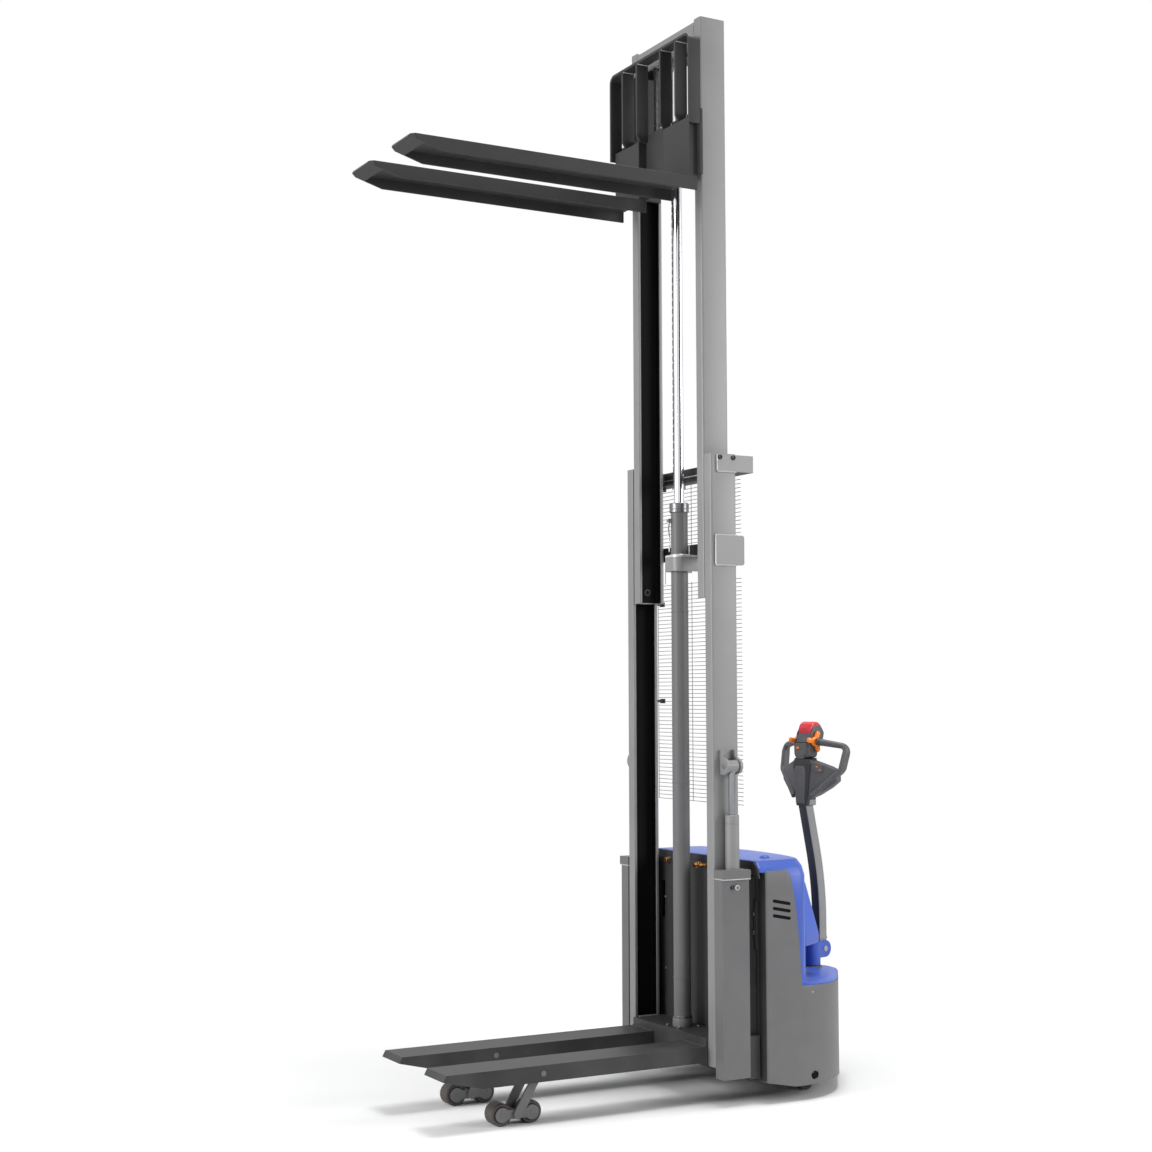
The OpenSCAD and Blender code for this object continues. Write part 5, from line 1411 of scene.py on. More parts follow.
@dataclass
class DriveUnit(Assembly):
    """Drive unit: chassis, side panels, blue cover and deck, battery, hydraulics and fittings."""

    body_half: float = 395.0
    round_x: float = 337.0
    round_long: float = 348.0
    nose: float = 99.0
    skirt: float = 54.0
    panel_x: float = 174.0
    panel_top: float = 850.0
    fold: float = 58.0
    vent_x: Pair = (202.0, 284.0)
    vent_top: float = 733.0
    vent_pitch: float = 27.0
    vent_r: float = 6.0
    vent_tilt: float = 11.0
    hole: Pair = (50.0, 34.0)
    deck: float = 421.0
    deck_fall: float = 16.0
    deck_thick: float = 8.5
    sheet: float = 3.0
    cover_front: float = 152.0
    bulkhead: float = 140.0
    fitting_z: float = 848.0
    side_line: tuple[Pair, ...] = (
        (331, 421), (329, 466), (324, 551), (317, 633), (306, 725), (290, 807), (279, 840), (267, 850))

    def __post_init__(self) -> None:
        """Takes the rear end and the steering axis from the frame too."""
        super().__post_init__()
        self.rear = self.box("side_panel_near")[1][0]
        self.steer = self.shop.steer_x

    def build(self) -> None:
        """Builds everything on the chassis that isn't part of the initial lift."""
        self.softened("chassis_frame", Finish.DARK, 1.2)
        self.softened("battery_pack", Finish.BATTERY, 4.0)
        self.softened("hydraulic_power_unit", Finish.BODY, 3.0)
        self._panels()
        self._edge_strips()
        self._cover()
        self._deck()
        self._bulkhead()
        self._latches()
        self._fittings()
        self._stop()

    def _plan(self, inset: float, front: Sequence[Point]) -> Array:
        """Near half of the plan: an ellipse about the start of the curve, then an arc about the steering.

        Args:
            inset: how far it is moved in.
            front: points that come before the curve.

        Returns:
            The points from the front to the rear end in the centre plane.
        """
        a = np.radians(np.linspace(0, 50, 26))
        side = np.stack([self.round_x + (self.round_long - inset) * np.sin(a),
                         -(self.body_half - inset) * np.cos(a)], -1)
        b = np.radians(np.linspace(53.5, 89.9, 12))
        nose = np.stack([self.steer + (self.nose - inset) * np.sin(b), -(self.nose - inset) * np.cos(b)], -1)
        return np.concatenate([np.asarray(front, float).reshape(-1, 2), side, nose, [[self.rear - inset, 0.0]]])

    def _side_y(self, x: float) -> float:
        """Distance of the side from the centre plane, at x behind the start of the curve."""
        return self.body_half * math.sqrt(1 - (x / self.round_long) ** 2)

    def _wall(self, inset: float) -> Array:
        """Panel's plan: the folded front edge, the flat side in steps fine enough for the edge's curve, the rear.

        Args:
            inset: how far it is moved in.

        Returns:
            The points from the fold to the rear end.
        """
        s, h = self.panel_x + inset, self.body_half - inset
        fold = rounded([(s, -self.body_half + self.fold), (s, -h), (self.round_x, -h)], 5.0 - inset, 5,
                       closed=False)[:-1]
        flats = np.linspace(184, self.round_x - 0.5, 78)
        return self._plan(inset, np.concatenate([fold, np.stack([flats, np.full(78, -h)], -1)]))

    def _deck_at(self, x: Array) -> Array:
        """Height of the panel's top edge behind the start of the curve."""
        return self.deck - self.deck_fall * (x - self.round_x) / (self.rear - self.round_x)

    def _edge(self, x: Array) -> Array:
        """Height of the panel's top edge: the side line up to the deck, then the deck.

        Args:
            x: depths.

        Returns:
            The height at each.
        """
        line = np.array(self.side_line)[::-1]
        smooth = rounded(line, [0, 22, 30, 60, 60, 60, 60, 0], 5, closed=False)
        return np.where(x > self.side_line[0][0], self._deck_at(x), np.interp(x, smooth[:, 0], smooth[:, 1]))

    def _panels(self) -> None:
        """Side panels: a ring over the wall's thickness at each station of the plan, its rims rounded.

        A ring goes up the outer face, over the rim, down the inner face and round the foot, with t the share of
        the thickness, high the share of the height and lift the rims' bulge in radii.
        """
        outer, inner = self._wall(0.0), self._wall(self.sheet)
        top = self._edge(outer[:, 0])
        folded = outer[:, 1] > -self.body_half + self.sheet + 0.2
        top[folded] = np.minimum(top, self.panel_top - 5.5)[folded]
        foot = np.interp(outer[:, 0], [173.0, 302.0], [79.0, self.skirt])
        n, m, r = 14, 7, self.sheet / 2
        share, a = np.linspace(0, 1, n), np.linspace(0, math.pi, m)
        t = np.concatenate([np.zeros(n), (1 - np.cos(a)) / 2, np.ones(n), (1 + np.cos(a)) / 2])
        high = np.concatenate([share, np.ones(m), share[::-1], np.zeros(m)])
        lift = np.concatenate([np.zeros(n), np.sin(a), np.zeros(n), -np.sin(a)])
        z = (foot + r)[:, None] + (top - foot - 2 * r)[:, None] * high + r * lift
        plan = outer[:, None] * (1 - t)[None, :, None] + inner[:, None] * t[None, :, None]
        shell = net(np.concatenate([plan, z[..., None]], -1))
        cutters = [prism(self._slot(i), "y", -self.body_half - 5, -self.body_half + 12) for i in range(3)]
        hole_x, hole_z = self.round_x + self.hole[0], self.skirt + self.hole[1]
        cutters.append(lathe([(16, 0), (16, 40)], (hole_x, -self.body_half - 6, hole_z), FAR, 32))
        far = [cutter.far() for cutter in cutters]
        for side, sheet, tools in (("near", shell, cutters), ("far", shell.far(), far)):
            panel = self.piece("panel_" + side, [sheet], Finish.BODY, ["side_panel_" + side], sharp=38)
            self.shop.cut(panel, tools)
        # The black plate behind the vents and the black disc behind the hole are painted shade, for the dark inside
        # of the panel.
        behind = both(block((190, -self.body_half + 3.2, 650), (300, -self.body_half + 3.7, 752)),
                      lathe([(20, 0), (20, 1)], (hole_x, 4.2 - self._side_y(self.hole[0]), hole_z), (0.14, 1, 0),
                            24))
        self.piece("vent_shades", behind, Finish.SHADE, rides="chassis")

    def _slot(self, i: int) -> Array:
        """Outline of a vent slot: a bar with half-round ends, tilted down to the rear.

        Args:
            i: its number from the top.

        Returns:
            The points, as x and z.
        """
        a, b, r = *self.vent_x, self.vent_r
        flat = oblong(a, -r, b, r, r * 0.999, 8)
        middle, tilt = (a + b) / 2, math.radians(-self.vent_tilt)
        x = middle + (flat[:, 0] - middle) * math.cos(tilt) - flat[:, 1] * math.sin(tilt)
        z = (self.vent_top - self.vent_pitch * i + (flat[:, 0] - middle) * math.sin(tilt)
             + flat[:, 1] * math.cos(tilt))
        return np.stack([x, z], -1)

    def _edge_strips(self) -> None:
        """Dark strip painted as shade on the folded front edge of each side panel, in the recess beside the guide
        box.
        """
        x, y = self.panel_x, -self.body_half
        strip = block((x - 0.5, y + 6, 82.0), (x + 0.6, y + self.fold - 1, self.panel_top - 8))
        # The dark strip is painted shade for the recess that the fold lies in.
        self.piece("panel_fold_shade", both(strip), Finish.DARK, rides="chassis")

    def _cover_plan(self, front: float, half: float, deep: float) -> Array:
        """Whole plan of the cover: straight front with rounded corners, flat sides, and half an ellipse behind.

        Args:
            front: depth of its front.
            half: half width.
            deep: how far the ellipse reaches behind the sides.

        Returns:
            The closed outline.
        """
        a = np.radians(np.linspace(0, 180, 41))
        rear = np.stack([self.round_x - 7 + deep * np.sin(a), -half * np.cos(a)], -1)
        end = self.round_x - 8
        corners = rounded([(end, half), (front, half), (front, -half), (end, -half)], 10, 4, closed=False)
        return np.concatenate([rear, corners[1:-1]])

    def _cover(self) -> None:
        """Blue cover: lid with a two-step shoulder, the rear wall behind the panels, the hump and a small cap."""
        low, high = self.box("top_cover")
        front, half, lap = self.cover_front, high[1], 845.0
        levels = rounded([(front, half, 108, 800), (front, half, 108, 826), (front, half - 14.7, 100, 861),
                          (158, half - 42.7, 86, 885.2), (230, half - 180, 40, 885.8)], [0, 10, 14, 20, 0], 5,
                         closed=False)
        edge = [np.interp(lap, levels[:, 3], levels[:, i]) for i in range(4)]
        levels = np.concatenate([[edge], levels[levels[:, 3] > lap + 0.5]])
        lid = rings([self._cover_plan(f, h, d) for f, h, d, _ in levels], levels[:, 3])
        rear = np.array([(half - 3, 105, low[2]), (half, 108, low[2] + 3), (half, 108, 700), (half, 108, 826),
                         (edge[1], edge[2], lap)])
        wall = rings([self._cover_plan(249, h, d) for h, d, _ in rear], rear[:, 2])
        self.piece("cover_shell", [lid, wall, self._hump()], Finish.BLUE, ["top_cover"], sharp=28)
        cap = [(20, -2), (20, 1.5), (19, 3), (14, 6.5), (12, 8), (10.5, 8.9), (3, 8.9)]
        self.piece("cover_cap", [lathe(cap, (268, -250, 885.5), UP, 40)], Finish.BLUE, rides="chassis")

    def _hump(self) -> Shell:
        """Hump between the cover and the tiller: six-cornered rings, rounded in plan and from ring to ring.

        Returns:
            The hump.
        """
        levels = np.array([
            [545, 424, 286, 545, 206], [549, 427, 290, 549, 210], [585, 427, 290, 549, 210],
            [778, 438, 218, 496, 205], [857, 438, 180, 447, 172], [860, 400, 150, 410, 140]], float)
        levels = rounded(levels, [0, 4, 26, 44, 12, 0], 5, closed=False)
        front = self.round_x + 1
        plans = [rounded([(front, -y), (x, -y), (rear_x, -rear_y), (rear_x, rear_y), (x, y), (front, y)],
                         [1, 26, 26, 26, 26, 1], 6) for _, x, y, rear_x, rear_y in levels]
        return rings(plans, levels[:, 0])

    def _deck(self) -> None:
        """Blue deck: rings that follow the tilted top edge, with a bevelled step, and a boot round the column."""
        rows = []
        for inset, rise in ((3.4, -11.5), (3.4, 2.5), (4.6, 4.2), (7.4, 5.1), (14.6, 5.2), (15.6, 5.8), (17.2, 7.6),
                            (19.8, 8.4), (40.0, self.deck_thick)):
            near = self._plan(inset, [[336.0, -self.body_half + inset]])
            ring = np.concatenate([near, near[-2::-1] * np.array([1, -1])])
            z = self._deck_at(ring[:, 0]) + rise
            rows.append(np.concatenate([ring, z[:, None]], 1))
        self.piece("deck_plate", [net(np.stack(rows))], Finish.BLUE, ["steering_deck"], sharp=26)
        top = float(self._deck_at(np.array(self.steer))) + self.deck_thick
        boot = lathe([(31.7, -4), (38, -4), (38, 1.0), (37, 2.2), (34, 2.8), (33, 4.6), (31.9, 5.2)],
                     (self.steer, 0, top), UP, 48, ring=True)
        self.piece("column_boot", [boot], Finish.GRIP, rides="chassis")

    def _bulkhead(self) -> None:
        """Bulged sheet on the bulkhead: bulge = 5.5 (1 - |share of the half width|^6), and its screws."""
        x, n = self.bulkhead, 25
        y = np.linspace(-1, 1, n)
        sheet = []
        for z, left, right in ((84, -206, 250), (150, -214, 254), (420, -232, 262), (700, -238, 262),
                               (836, -226, 258), (846, -216, 250)):
            across = (left + right) / 2 + (right - left) / 2 * y
            bulge = 5.5 * np.clip(1 - np.abs(y) ** 6, 0, 1)
            face = np.stack([x - bulge - 0.3, across, np.full(n, z)], -1)
            back = np.stack([np.full(n, x + 1.0), across[::-1], np.full(n, z)], -1)
            sheet.append(np.concatenate([face, back]))
        self.piece("bulkhead_sheet", [net(np.stack(sheet))], Finish.DARK, rides="chassis", sharp=40)
        spots = [(x - 2.6, y, z) for y, z in ((-219, 180), (-228, 420), (-231, 700), (246, 180), (254, 420),
                                              (254, 700))]
        self.piece("bulkhead_screws", screws(spots, FRONT, 5.5, 2.6), Finish.SCREW, rides="chassis")

    def _latches(self) -> None:
        """Latch plates with two knobs each in the recesses beside the guide boxes."""
        shells = both(pillow(oblong(-350, 560, -324, 742, 4), "x", 158.5, 166.6, 1.6),
                      pillow(oblong(-344, 590, -329, 716, 3), "x", 155.5, 160, 1.2))
        self.piece("latch_plates", shells, Finish.DARK, rides="chassis")
        knob = [(9, 0), (9, 5), (7.5, 6.5), (2, 6.5)]
        knobs = both(*(lathe(knob, (156, -336.5, z), FRONT, 28) for z in (690, 622)))
        self.piece("latch_knobs", knobs, Finish.GRIP, rides="chassis")

    def _fittings(self) -> None:
        """Hydraulic and electric fittings at the bulkhead's top, and the panel screws."""
        z = self.fitting_z
        gland = [(7, 0), (9, 1), (9, 12), (8, 13), (8, 14), (13, 14.4), (13, 29.6), (12, 30.4), (8.4, 31), (8.4, 43)]
        small = [(5, 0), (7, 1), (7, 10), (5.4, 11), (5.4, 22), (7, 22.5), (7, 36)]
        side = [(5, 0), (8, 1), (8, 7), (6.6, 8), (6.6, 15)]
        socket = [(9, 0), (10, 1), (10, 8), (7, 9), (7, 22)]
        shells = [lathe(gland, (96, -20, z), BACK, 6), lathe(small, (104, -48, z), BACK, 6),
                  lathe(side, (138, -350.4, 842), FAR, 6), lathe(socket, (118, 225, z), BACK, 28)]
        self.piece("fittings_turned", shells, Finish.BRASS, ["bulkhead_fittings"])
        nut = lathe([(11, 0), (13.4, 1.4), (13.4, 9), (11, 10.4)], (114, -20, z), BACK, 6)
        self.piece("fitting_nut", [nut], Finish.GRIP, rides="chassis")
        collar = lathe([(9.8, 0), (12.8, 0), (12.8, 7), (11, 8)], (130, 225, z), BACK, 28)
        self.piece("plug_collar", [collar], Finish.SCREW, rides="chassis")
        dx = 45.0
        screw = lathe([(3.9, 0), (3.9, 0.6), (3, 1.0), (0.8, 0.7)],
                      (self.round_x + dx, 0.4 - self._side_y(dx), self.deck - 28), NEAR, 24)
        heads = both(*screws([(58, -366.2, 795)], NEAR, 6, 3.8), screw)
        self.piece("panel_screw_heads", heads, Finish.SCREW, ["panel_screws"])

    def _stop(self) -> None:
        """Emergency stop with a mushroom head on the hump's rear face, which leans by 50 in 195."""
        lean = math.atan(50 / 195)
        n = np.array([math.cos(lean), 0, math.sin(lean)])
        centre = np.array([537.0, 120, 585]) + 115 * np.array([-math.sin(lean), 0, math.cos(lean)])
        head = [(9, -12), (9, 7.5), (15, 8), (17.6, 9.4), (18, 12), (16.8, 15), (12, 17.4), (3, 18)]
        self.piece("stop_mushroom", [lathe(head, centre, n, 40)], Finish.RED, ["emergency_stop"])
        ring = lathe([(9.6, -4), (20, -4), (20, 0.4), (19, 1.2), (9.6, 1.2)], centre, n, 40, ring=True)
        self.piece("stop_ring", [ring], Finish.GRIP, rides="chassis")


# ---------------- steering and tiller

@dataclass
class SteeringColumn(SteeredAssembly):
    """Steering bracket, drive motor and drive wheel."""

    wheel_r: float = 88.0
    bolts_r: float = 40.0
    pivot: Pair = (46.0, 487.0)

    def build(self) -> None:
        """Builds the parts that turn with the steering."""
        self.softened("steering_bracket", Finish.BLUE, 2.0)
        self.softened("traction_motor", Finish.DARK, 2.0)
        r, ring = self.wheel_r, self.bolts_r
        half = [(14.1, -23), (30, -23), (33, -8), (46, -8), (50, -18), (54, -20), (60, -24.6), (r - 5, -25),
                (r - 1.4, -23), (r, -18)]
        self.put("drive_wheel_tread", [wheel(half, (0, 0, r), 72)], Finish.WHEEL, ["drive_wheel"])
        spots = [(ring * math.cos(a), -8, r + ring * math.sin(a)) for a in np.radians(np.arange(0, 360, 72))]
        self.put("wheel_bolts", screws(spots, NEAR, 5.5, 4), Finish.SCREW, rides="wheel")
        x, z = self.pivot
        pin = [(8.2, 0), (11, 0), (11, 2.0), (9.5, 2.4), (3, 2.4)]
        pins = [lathe(pin, (x, side * 29.8, z), (0, side, 0), 32) for side in (-1, 1)]
        self.put("pivot_pins", pins, Finish.SCREW, rides="steering")


@dataclass
class Tiller(SteeredAssembly):
    """Tiller arm and head. Heights on the head are counted from its top."""

    front: float = 22.0
    deep: float = 46.0
    half: float = 20.2
    foot: float = 489.0
    bend_z: float = 600.0
    bend_r: float = 1197.0
    bend_angle: float = 13.4
    arm_top: float = 1094.0
    pivot: Pair = (46.0, 487.0)
    top: float = 1394.0
    chamfer: float = 8.0
    grip: float = 14.2
    reach: float = 160.0
    hub: Pair = (-28.0, -80.0)
    hub_r: float = 19.0
    lobes: tuple[float, ...] = (170.0, 57.0, -57.0)
    lobe: float = 28.2
    lobe_width: float = 0.36
    rocker: Triple = (-35.7, -71.4, -186.0)
    rocker_turn: float = 24.3

    def build(self) -> None:
        """Builds the arm and everything on the head."""
        self._arm()
        self._head()
        self._covers()
        self._loops()
        self._throttle()
        self._switches()

    def _line(self, off: float) -> Array:
        """Side line of the arm: straight, an arc, then straight.

        Args:
            off: distance behind the arm's front face.

        Returns:
            The path in the centre plane.
        """
        a = np.radians(np.linspace(0, self.bend_angle, 20))
        arc = np.stack([self.front - self.bend_r * (1 - np.cos(a)) + off * np.cos(a),
                        self.bend_z + self.bend_r * np.sin(a) + off * np.sin(a)], -1)
        tip = math.radians(self.bend_angle)
        run = self.arm_top - (self.bend_z + self.bend_r * math.sin(tip))
        neck = self.front - self.bend_r * (1 - math.cos(tip))
        end = [neck - run * math.tan(tip) + off / math.cos(tip), self.arm_top - 2]
        straight = [[self.front + off, self.foot], [self.front + off, self.foot + 56]]
        return np.insert(np.concatenate([straight, arc, [end]]), 1, 0.0, axis=1)

    def _arm(self) -> None:
        """Arm with a rounded box section, its pivot boss, the collar at its foot and the strip on its front."""
        half, deep = self.half, self.deep / 2
        arm = sweep(self._line(deep), oblong(-half, -deep, half, deep, 6, 4), BACK)
        boss = lathe(even([(20, 0.2 - half), (23.4, 1 - half), (24, 2.4 - half)]), (self.pivot[0], 0, self.pivot[1]),
                     FAR, 48)
        collar = pillow(oblong(20, -21, 70, 21, 5, 4), "z", 525.2, 534.8, 2.0)
        self.put("arm_tube", [arm, boss, collar], Finish.MAST, ["tiller_arm"], sharp=40)
        strip = sweep(self._line(0.2)[1:], oblong(-18.6, -0.7, 18.6, 0.9, 0.6, 3), BACK)
        self.put("arm_strip", [strip], Finish.BATTERY, rides="tiller")

    def _loft(self, rows: Sequence[Sequence[float]]) -> Shell:
        """Surface through rounded six-cornered rings, narrower at their front.

        Args:
            rows: height, front, rear and half width of each ring.

        Returns:
            The closed solid.
        """
        c = self.chamfer
        plans = [rounded([(u0, -h * 0.72), (u0 + c, -h), (u1, -h), (u1, h), (u0 + c, h), (u0, h * 0.72)], 5, 4)
                 for _, u0, u1, h in rows]
        return rings(plans, [self.top + row[0] for row in rows])

    def _head(self) -> None:
        """Neck shield and console, each a loft of rounded rings."""
        shield = self._loft([(-335, -62, -6, 27), (-332, -63.5, -4, 29.5), (-240, -66, -4, 37),
                             (-172, -67.5, -4, 43.6), (-166, -67.5, -4, 43.8), (-151, -66, 0, 36),
                             (-146, -62, 0, 33)])
        self.put("neck_shield", [shield], Finish.DARK, ["tiller_head"], sharp=30)
        console = self._loft([(-145, -58, -2, 25), (-143.4, -60, -1, 30), (-140, -61, 0, 34),
                              (-135, -61.5, 0.5, 36.6), (-129, -61.8, 1.5, 37.2), (-110, -61.8, 3.5, 37.2),
                              (-100, -58.5, 13, 36.8), (-72, -49.5, 37, 35.4), (-51, -42, 44.5, 34.2),
                              (-46.5, -39, 43, 32.6)])
        self.put("console", [console], Finish.GRIP, rides="tiller", sharp=30)

    def _covers(self) -> None:
        """Raised covers, arched cheeks, neck sides, the console's mark and the seams round the head."""
        top = self.top
        lid = rounded([(-29, top - 139), (29, top - 139), (31, top - 86), (-31, top - 86)], [12, 12, 3, 3])
        panel = rounded([(-21, top - 326), (21, top - 326), (30, top - 196), (22, top - 176), (-22, top - 176),
                         (-30, top - 196)], 3)
        plate = [(-40, -60), (-38, -46), (-24, -26), (-6, -14), (12, -14), (30, -26), (42, -46), (34, -74),
                 (18, -100), (4, -118), (-28, -127), (-52, -112), (-54, -84)]
        cheek = pillow(rounded([(u, top + z) for u, z in plate], [4, 8, 12, 14, 14, 12, 6, 14, 20, 20, 30, 16, 12]),
                       "y", -38.2, -33.0, 2.0)
        covers = [pillow(lid, "x", -64.6, -58, 1.8), pillow(panel, "x", -68.4, -62, 2.4), *both(cheek)]
        self.put("head_covers", covers, Finish.GRIP, rides="tiller", sharp=30)
        side = rounded([(-46, top - 333), (-5, top - 333), (-5, top - 300), (-40, top - 300)], 1)
        self.put("neck_sides", both(pillow(side, "y", -31.2, -26, 0.8)), Finish.MAST, rides="tiller")
        mark = pillow(oblong(5, top - 109, 20, top - 100, 3), "x", -65.2, -60, 0.6)
        self.put("console_mark", [mark], Finish.ORANGE, rides="tiller")
        seams = [self._loft([(z, *plan), (z + 1.8, *plan)])
                 for z, plan in ((-147.8, (-64, 2, 35.4)), (-84.4, (-54.4, 26, 36.6)))]
        self.put("head_seams", seams, Finish.SHADE, rides="tiller")

    def _loops(self) -> None:
        """Handle loops: a round grip, a deep outer bar and a lower edge, joined to the neck by a web plate.

        The bar's half thickness and half depth follow its length, so that the grip is round and the outer bar flat.
        """
        top, r, g = self.top, self.reach, self.grip
        path = rounded([(-24, -56, top - 80), (40, -r, top - 100), (15, -r + 10, top - 192), (-50, -44, top - 296)],
                       [0, 24, 34, 0], 9, closed=False)
        run = np.concatenate([[0], np.cumsum(np.linalg.norm(np.diff(path, axis=0), axis=1))])
        share = run / run[-1]
        thick = np.interp(share, [0, 0.3, 0.36, 0.56, 0.68, 1], [g, 11.5, 10.6, 10.8, 15, 13])
        deep = np.interp(share, [0, 0.26, 0.38, 0.58, 0.7, 1], [g, 12.4, 21, 21, 15, 10])
        section = oval(1, 1, 24, 2.3)[None] * np.stack([thick, deep], -1)[:, None]
        web = [np.insert(oblong(u0, top + z0, u1, top + z1, 5, 4), 1, v, axis=1) for v, u0, u1, z0, z1 in (
            (-28, -56, -14, -308, -149), (-60, -42, -3, -294, -160), (-110, -20, 14, -262, -178),
            (-138, -6, 22, -238, -192))]
        shells = both(sweep(path, section, (1, 0, 0.02)), net(np.stack(web)))
        self.put("handle_loops", shells, Finish.GRIP, rides="tiller", sharp=34)
        direction = unit(path[1] - path[0])
        collar = [(g - 3, -1), (g + 0.2, 0), (g + 1, 0.8), (g + 1, 7), (g + 0.2, 8), (g - 3, 9)]
        collars = both(lathe(collar, path[0] + direction * 4, direction, 32))
        self.put("grip_collars", collars, Finish.WHEEL, rides="tiller")

    def _throttle(self) -> None:
        """Three-lobed wings: radius = hub + sum of lobe exp(-(angle off / width)^4), domed on both faces."""
        x, z = self.hub[0], self.top + self.hub[1]
        t = np.linspace(0, 2 * math.pi, 96, endpoint=False)
        r = np.full(96, self.hub_r)
        for centre in np.radians(self.lobes):
            off = np.angle(np.exp(1j * (t - centre)))
            r = r + self.lobe * np.exp(-((off / self.lobe_width) ** 4))
        outline = np.stack([r * np.cos(t), r * np.sin(t)], -1)
        domed = ((-54, 0.55), (-53.4, 0.80), (-51.5, 0.93), (-49, 0.99), (-47, 1.0), (-45, 0.99), (-42.5, 0.93),
                 (-40.3, 0.8))
        wing = net(np.stack([np.insert(outline * scale, 1, y, axis=1) for y, scale in domed])).moved(x, 0, z)
        shaft = lathe([(6.8, -52), (6.8, 52)], (x, 0, z), FAR, 28)
        self.put("throttle_butterfly", [*both(wing), shaft], Finish.ORANGE, ["throttle_wings"], sharp=46)

    def _switches(self) -> None:
        """Red switch over the head, horn button and lift rocker with its two marks."""
        top = self.top
        side = rounded([(-35.6, top - 49), (-35.2, top - 26), (-26, top - 10), (-8, top - 0.3), (12, top - 2),
                        (32, top - 15), (39.6, top - 34), (39.8, top - 49)], [3, 10, 16, 16, 14, 14, 8, 3], 6)
        self.put("belly_cap", [pillow(side, "y", -32.6, 32.6, 6, 6)], Finish.RED, ["belly_switch"], sharp=40)
        horn = pillow(oblong(-21, top - 149, 21, top - 117, 6), "x", -66, -58.4, 3)
        self.put("horn_pad", [horn], Finish.GRIP, ["horn_button"])
        pad = pillow(oblong(-19.6, -15.2, 19.6, 15.2, 3), "x", -5.4, 5.4, 1.6)
        marks = [pillow(oblong(y - 4, z - 1.8, y + 4, z + 1.8, 1.6), "x", -5.9, -5, 0.2)
                 for y, z in ((6, 7), (-6, -6))]
        self.put("rocker_pad", [self._at_rocker(pad)], Finish.GRIP, ["lift_rocker"])
        self.put("rocker_marks", [self._at_rocker(mark) for mark in marks], Finish.ORANGE, rides="rocker")

    def _at_rocker(self, shell: Shell) -> Shell:
        """Places a shell drawn about the rocker's middle."""
        x, y, z = self.rocker
        return shell.turned(self.rocker_turn).moved(x, y, self.top + z)


# ---------------- legs and casters

@dataclass
class LoadLegs(Assembly):
    """Support legs with their swing arms, bogies and load rollers."""

    weld_size: float = 3.2

    def build(self) -> None:
        """Builds both legs."""
        for side in ("near", "far"):
            self.softened("leg_" + side, Finish.DARK, 2.0)
            self.softened("roller_arm_" + side, Finish.BODY, 1.6)
            self.softened("bogie_" + side, Finish.BODY, 1.0)
        for place in ("near_front", "near_rear", "far_front", "far_rear"):
            node = "load_roller_" + place
            low, high = self.box(node)
            h = (high[1] - low[1]) / 2
            half = [(10.2, 1.5 - h), (17, 1.5 - h), (19, 3.5 - h), (27, 3.5 - h), (29, 0.5 - h), (37, -h),
                    (40, 3 - h)]
            self.piece(node + ".turned", [wheel(half, (low + high) / 2)], Finish.LOAD_ROLLER, [node])
        self._welds()

    def _welds(self) -> None:
        """Beads where the legs join the base and along their heel."""
        low, high = self.box("leg_near")
        x = self.box("base_crossmember")[0][0] - 1
        shells = both(weld((x, low[1] + 3, high[2]), (x, high[1] - 3, high[2]), self.weld_size, UP),
                      weld((x, low[1], low[2] + 4), (x, low[1], high[2] - 2), self.weld_size, FAR))
        self.piece("leg_welds", shells, Finish.DARK, rides="load_frame")


@dataclass
class Casters(Assembly):
    """Swivel casters beside the drive wheel."""

    def build(self) -> None:
        """Builds both casters."""
        for side in ("near", "far"):
            self.softened("caster_fork_" + side, Finish.DARK, 1.0)
            low, high = self.box("caster_wheel_" + side)
            h, r = (high[1] - low[1]) / 2, (high[2] - low[2]) / 2
            half = [(6.2, 0.5 - h), (12, 0.5 - h), (14, 4 - h), (r - 14, 4 - h), (r - 11, 1 - h), (r - 4, -h),
                    (r, 5 - h)]
            tread = wheel(half, (low + high) / 2)
            self.piece("caster_tread_" + side, [tread], Finish.WHEEL, ["caster_wheel_" + side])


# ---------------- studio

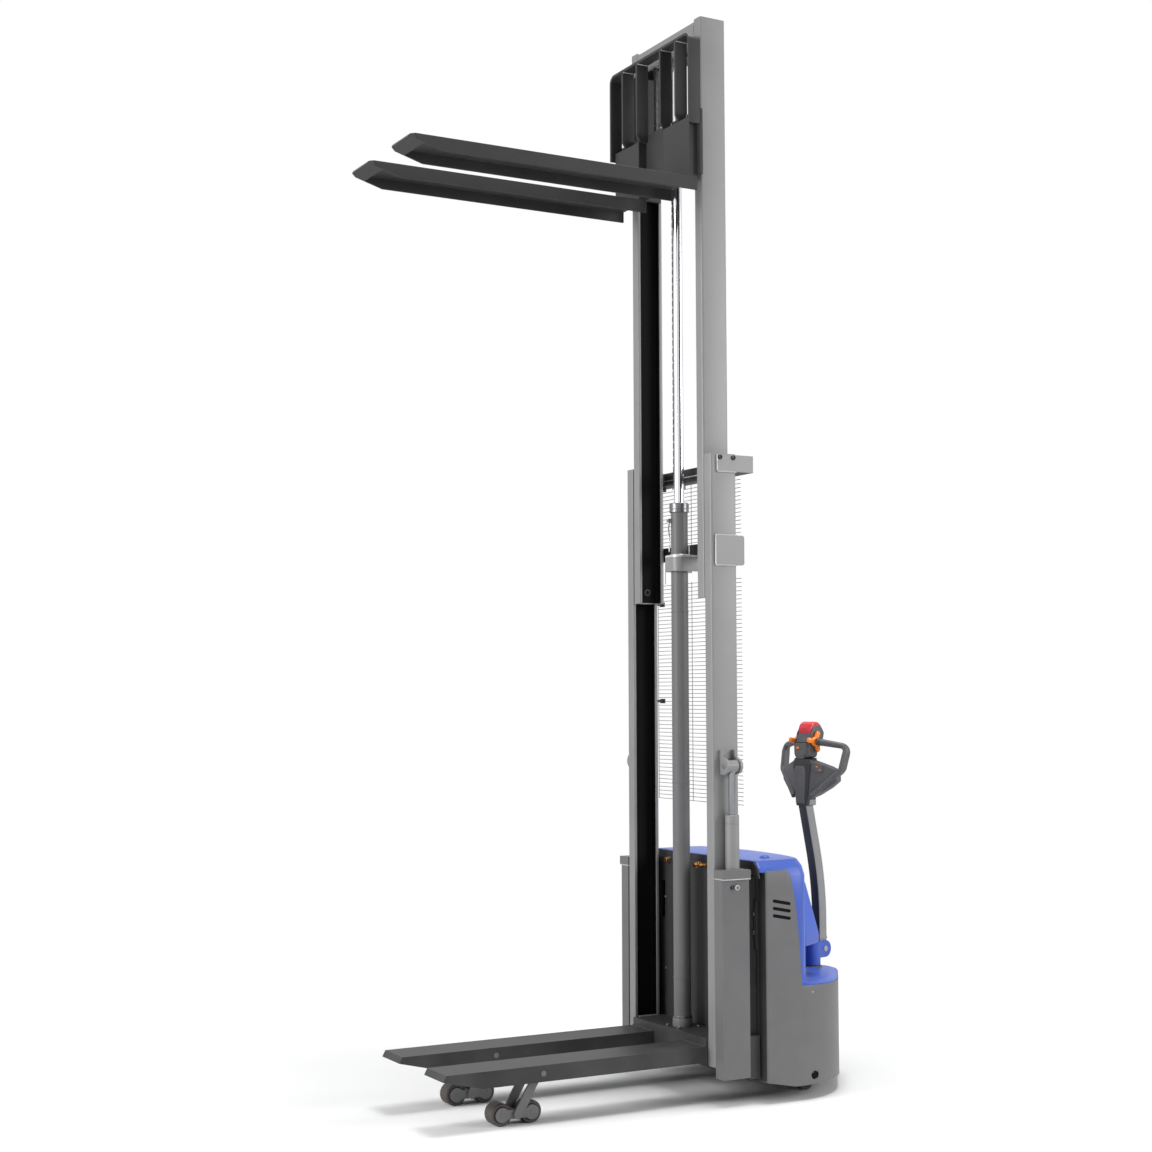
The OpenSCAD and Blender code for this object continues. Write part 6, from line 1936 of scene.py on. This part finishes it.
@dataclass
class Studio:
    """Floor, lamps, backdrop and camera, in metres."""

    place: Triple = (-3.5119, -6.0579, 1.4994)
    right: Triple = (0.87643, -0.48152, -0.00300)
    down: Triple = (0.02872, 0.05848, -0.99788)
    forward: Triple = (0.48067, 0.87448, 0.06509)
    focal_pixels: float = 1837.7
    sensor: float = 36.0
    floor_half: float = 60.0
    floor_level: float = 0.9
    floor_middle: Triple = (0.1, 0.1, 0.0)
    floor_fade: Pair = (1.1, 2.4)
    light_colour: Colour = (0.97, 0.98, 1.0, 1.0)
    light_strength: float = 0.34
    lamp_side: float = 3.0
    lamps: tuple[tuple[str, Point, Point, float], ...] = (
        ("key", (5.8, -5.8, 3.6), (0.3, 0.0, 1.8), 320), ("side", (-7.0, 0.4, 3.6), (0.2, 0.0, 1.8), 400),
        ("top", (0.9, -0.6, 8.5), (0.5, 0.0, 1.0), 460))

    def build(self) -> None:
        """Builds the studio."""
        self._camera()
        self._floor()
        self._world()
        for lamp in self.lamps:
            self._lamp(*lamp)

    def _camera(self) -> None:
        """Camera solved from the photograph."""
        data = bpy.data.cameras.new("camera")
        data.sensor_width = self.sensor
        data.lens = self.focal_pixels / PHOTO_PIXELS * self.sensor
        data.clip_end = 200
        camera = bpy.data.objects.new("camera", data)
        rows = [[r, -d, -f, p] for r, d, f, p in zip(self.right, self.down, self.forward, self.place)]
        camera.matrix_world = Matrix(rows + [[0, 0, 0, 1]])
        bpy.context.scene.collection.objects.link(camera)
        bpy.context.scene.camera = camera

    def _floor(self) -> None:
        """Pale floor that turns to plain white away from the machine, so that no horizon shows."""
        data = bpy.data.meshes.new("floor")
        e, pale = self.floor_half, self.floor_level
        data.from_pydata([(-e, -e, 0), (e, -e, 0), (e, e, 0), (-e, e, 0)], [], [(0, 1, 2, 3)])
        floor = bpy.data.objects.new("floor", data)
        material = bpy.data.materials.new("floor")
        material.use_nodes = True
        graph = Graph(material.node_tree)
        matte = graph.add("BsdfDiffuse", {"Color": (pale, pale, pale, 1)})
        white = graph.add("Emission", {"Color": WHITE, "Strength": 1.0})
        shift = graph.add("VectorMath", {0: graph.place(), 1: self.floor_middle}, operation="SUBTRACT")
        away = graph.add("VectorMath", {0: shift.outputs["Vector"]}, operation="LENGTH").outputs["Value"]
        fade = graph.band(away, *self.floor_fade, interpolation="SMOOTHSTEP")
        seen = graph.math("MULTIPLY", fade, graph.add("LightPath", {}).outputs["Is Camera Ray"])
        graph.blended(seen, matte, white, "OutputMaterial")
        data.materials.append(material)
        bpy.context.scene.collection.objects.link(floor)

    def _world(self) -> None:
        """White backdrop at strength one for the camera and in metal and glass, and a softer level as light."""
        world = bpy.data.worlds.new("world")
        bpy.context.scene.world = world
        world.use_nodes = True
        graph = Graph(world.node_tree)
        light = graph.add("Background", {"Color": self.light_colour, "Strength": self.light_strength})
        back = graph.add("Background", {"Color": WHITE, "Strength": 1.0})
        path = graph.add("LightPath", {}).outputs
        either = graph.math("MAXIMUM", path["Is Camera Ray"], path["Is Transmission Ray"])
        graph.blended(graph.math("MAXIMUM", either, path["Is Glossy Ray"]), light, back, "OutputWorld")

    def _lamp(self, name: str, place: Point, target: Point, power: float) -> None:
        """Large soft lamp that looks at a point.

        Args:
            name: name of the lamp.
            place: where it stands.
            target: what it looks at.
            power: watts.
        """
        data = bpy.data.lights.new(name, "AREA")
        data.size = self.lamp_side
        data.energy = power
        lamp = bpy.data.objects.new(name, data)
        back = unit(np.asarray(place, float) - np.asarray(target, float))
        side = unit(np.cross([0.0, 0.0, 1.0], back))
        up = np.cross(back, side)
        lamp.matrix_world = Matrix([[side[i], up[i], back[i], place[i]] for i in range(3)] + [[0, 0, 0, 1]])
        bpy.context.scene.collection.objects.link(lamp)


def main() -> None:
    """Builds the scene."""
    logging.basicConfig(level=logging.INFO, format="%(name)s: %(message)s")
    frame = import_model()
    shop = Workshop(frame)
    shop.coat_nodes()
    for part in (OuterMast, InnerMast, LiftCylinder, LiftChains, Carriage, WireGuard, InitialLift, DriveUnit,
                 SteeringColumn, Tiller, LoadLegs, Casters):
        part(shop).build()
    Studio().build()
    bpy.context.scene.view_settings.view_transform = "Standard"


if __name__ == "__main__":
    main()
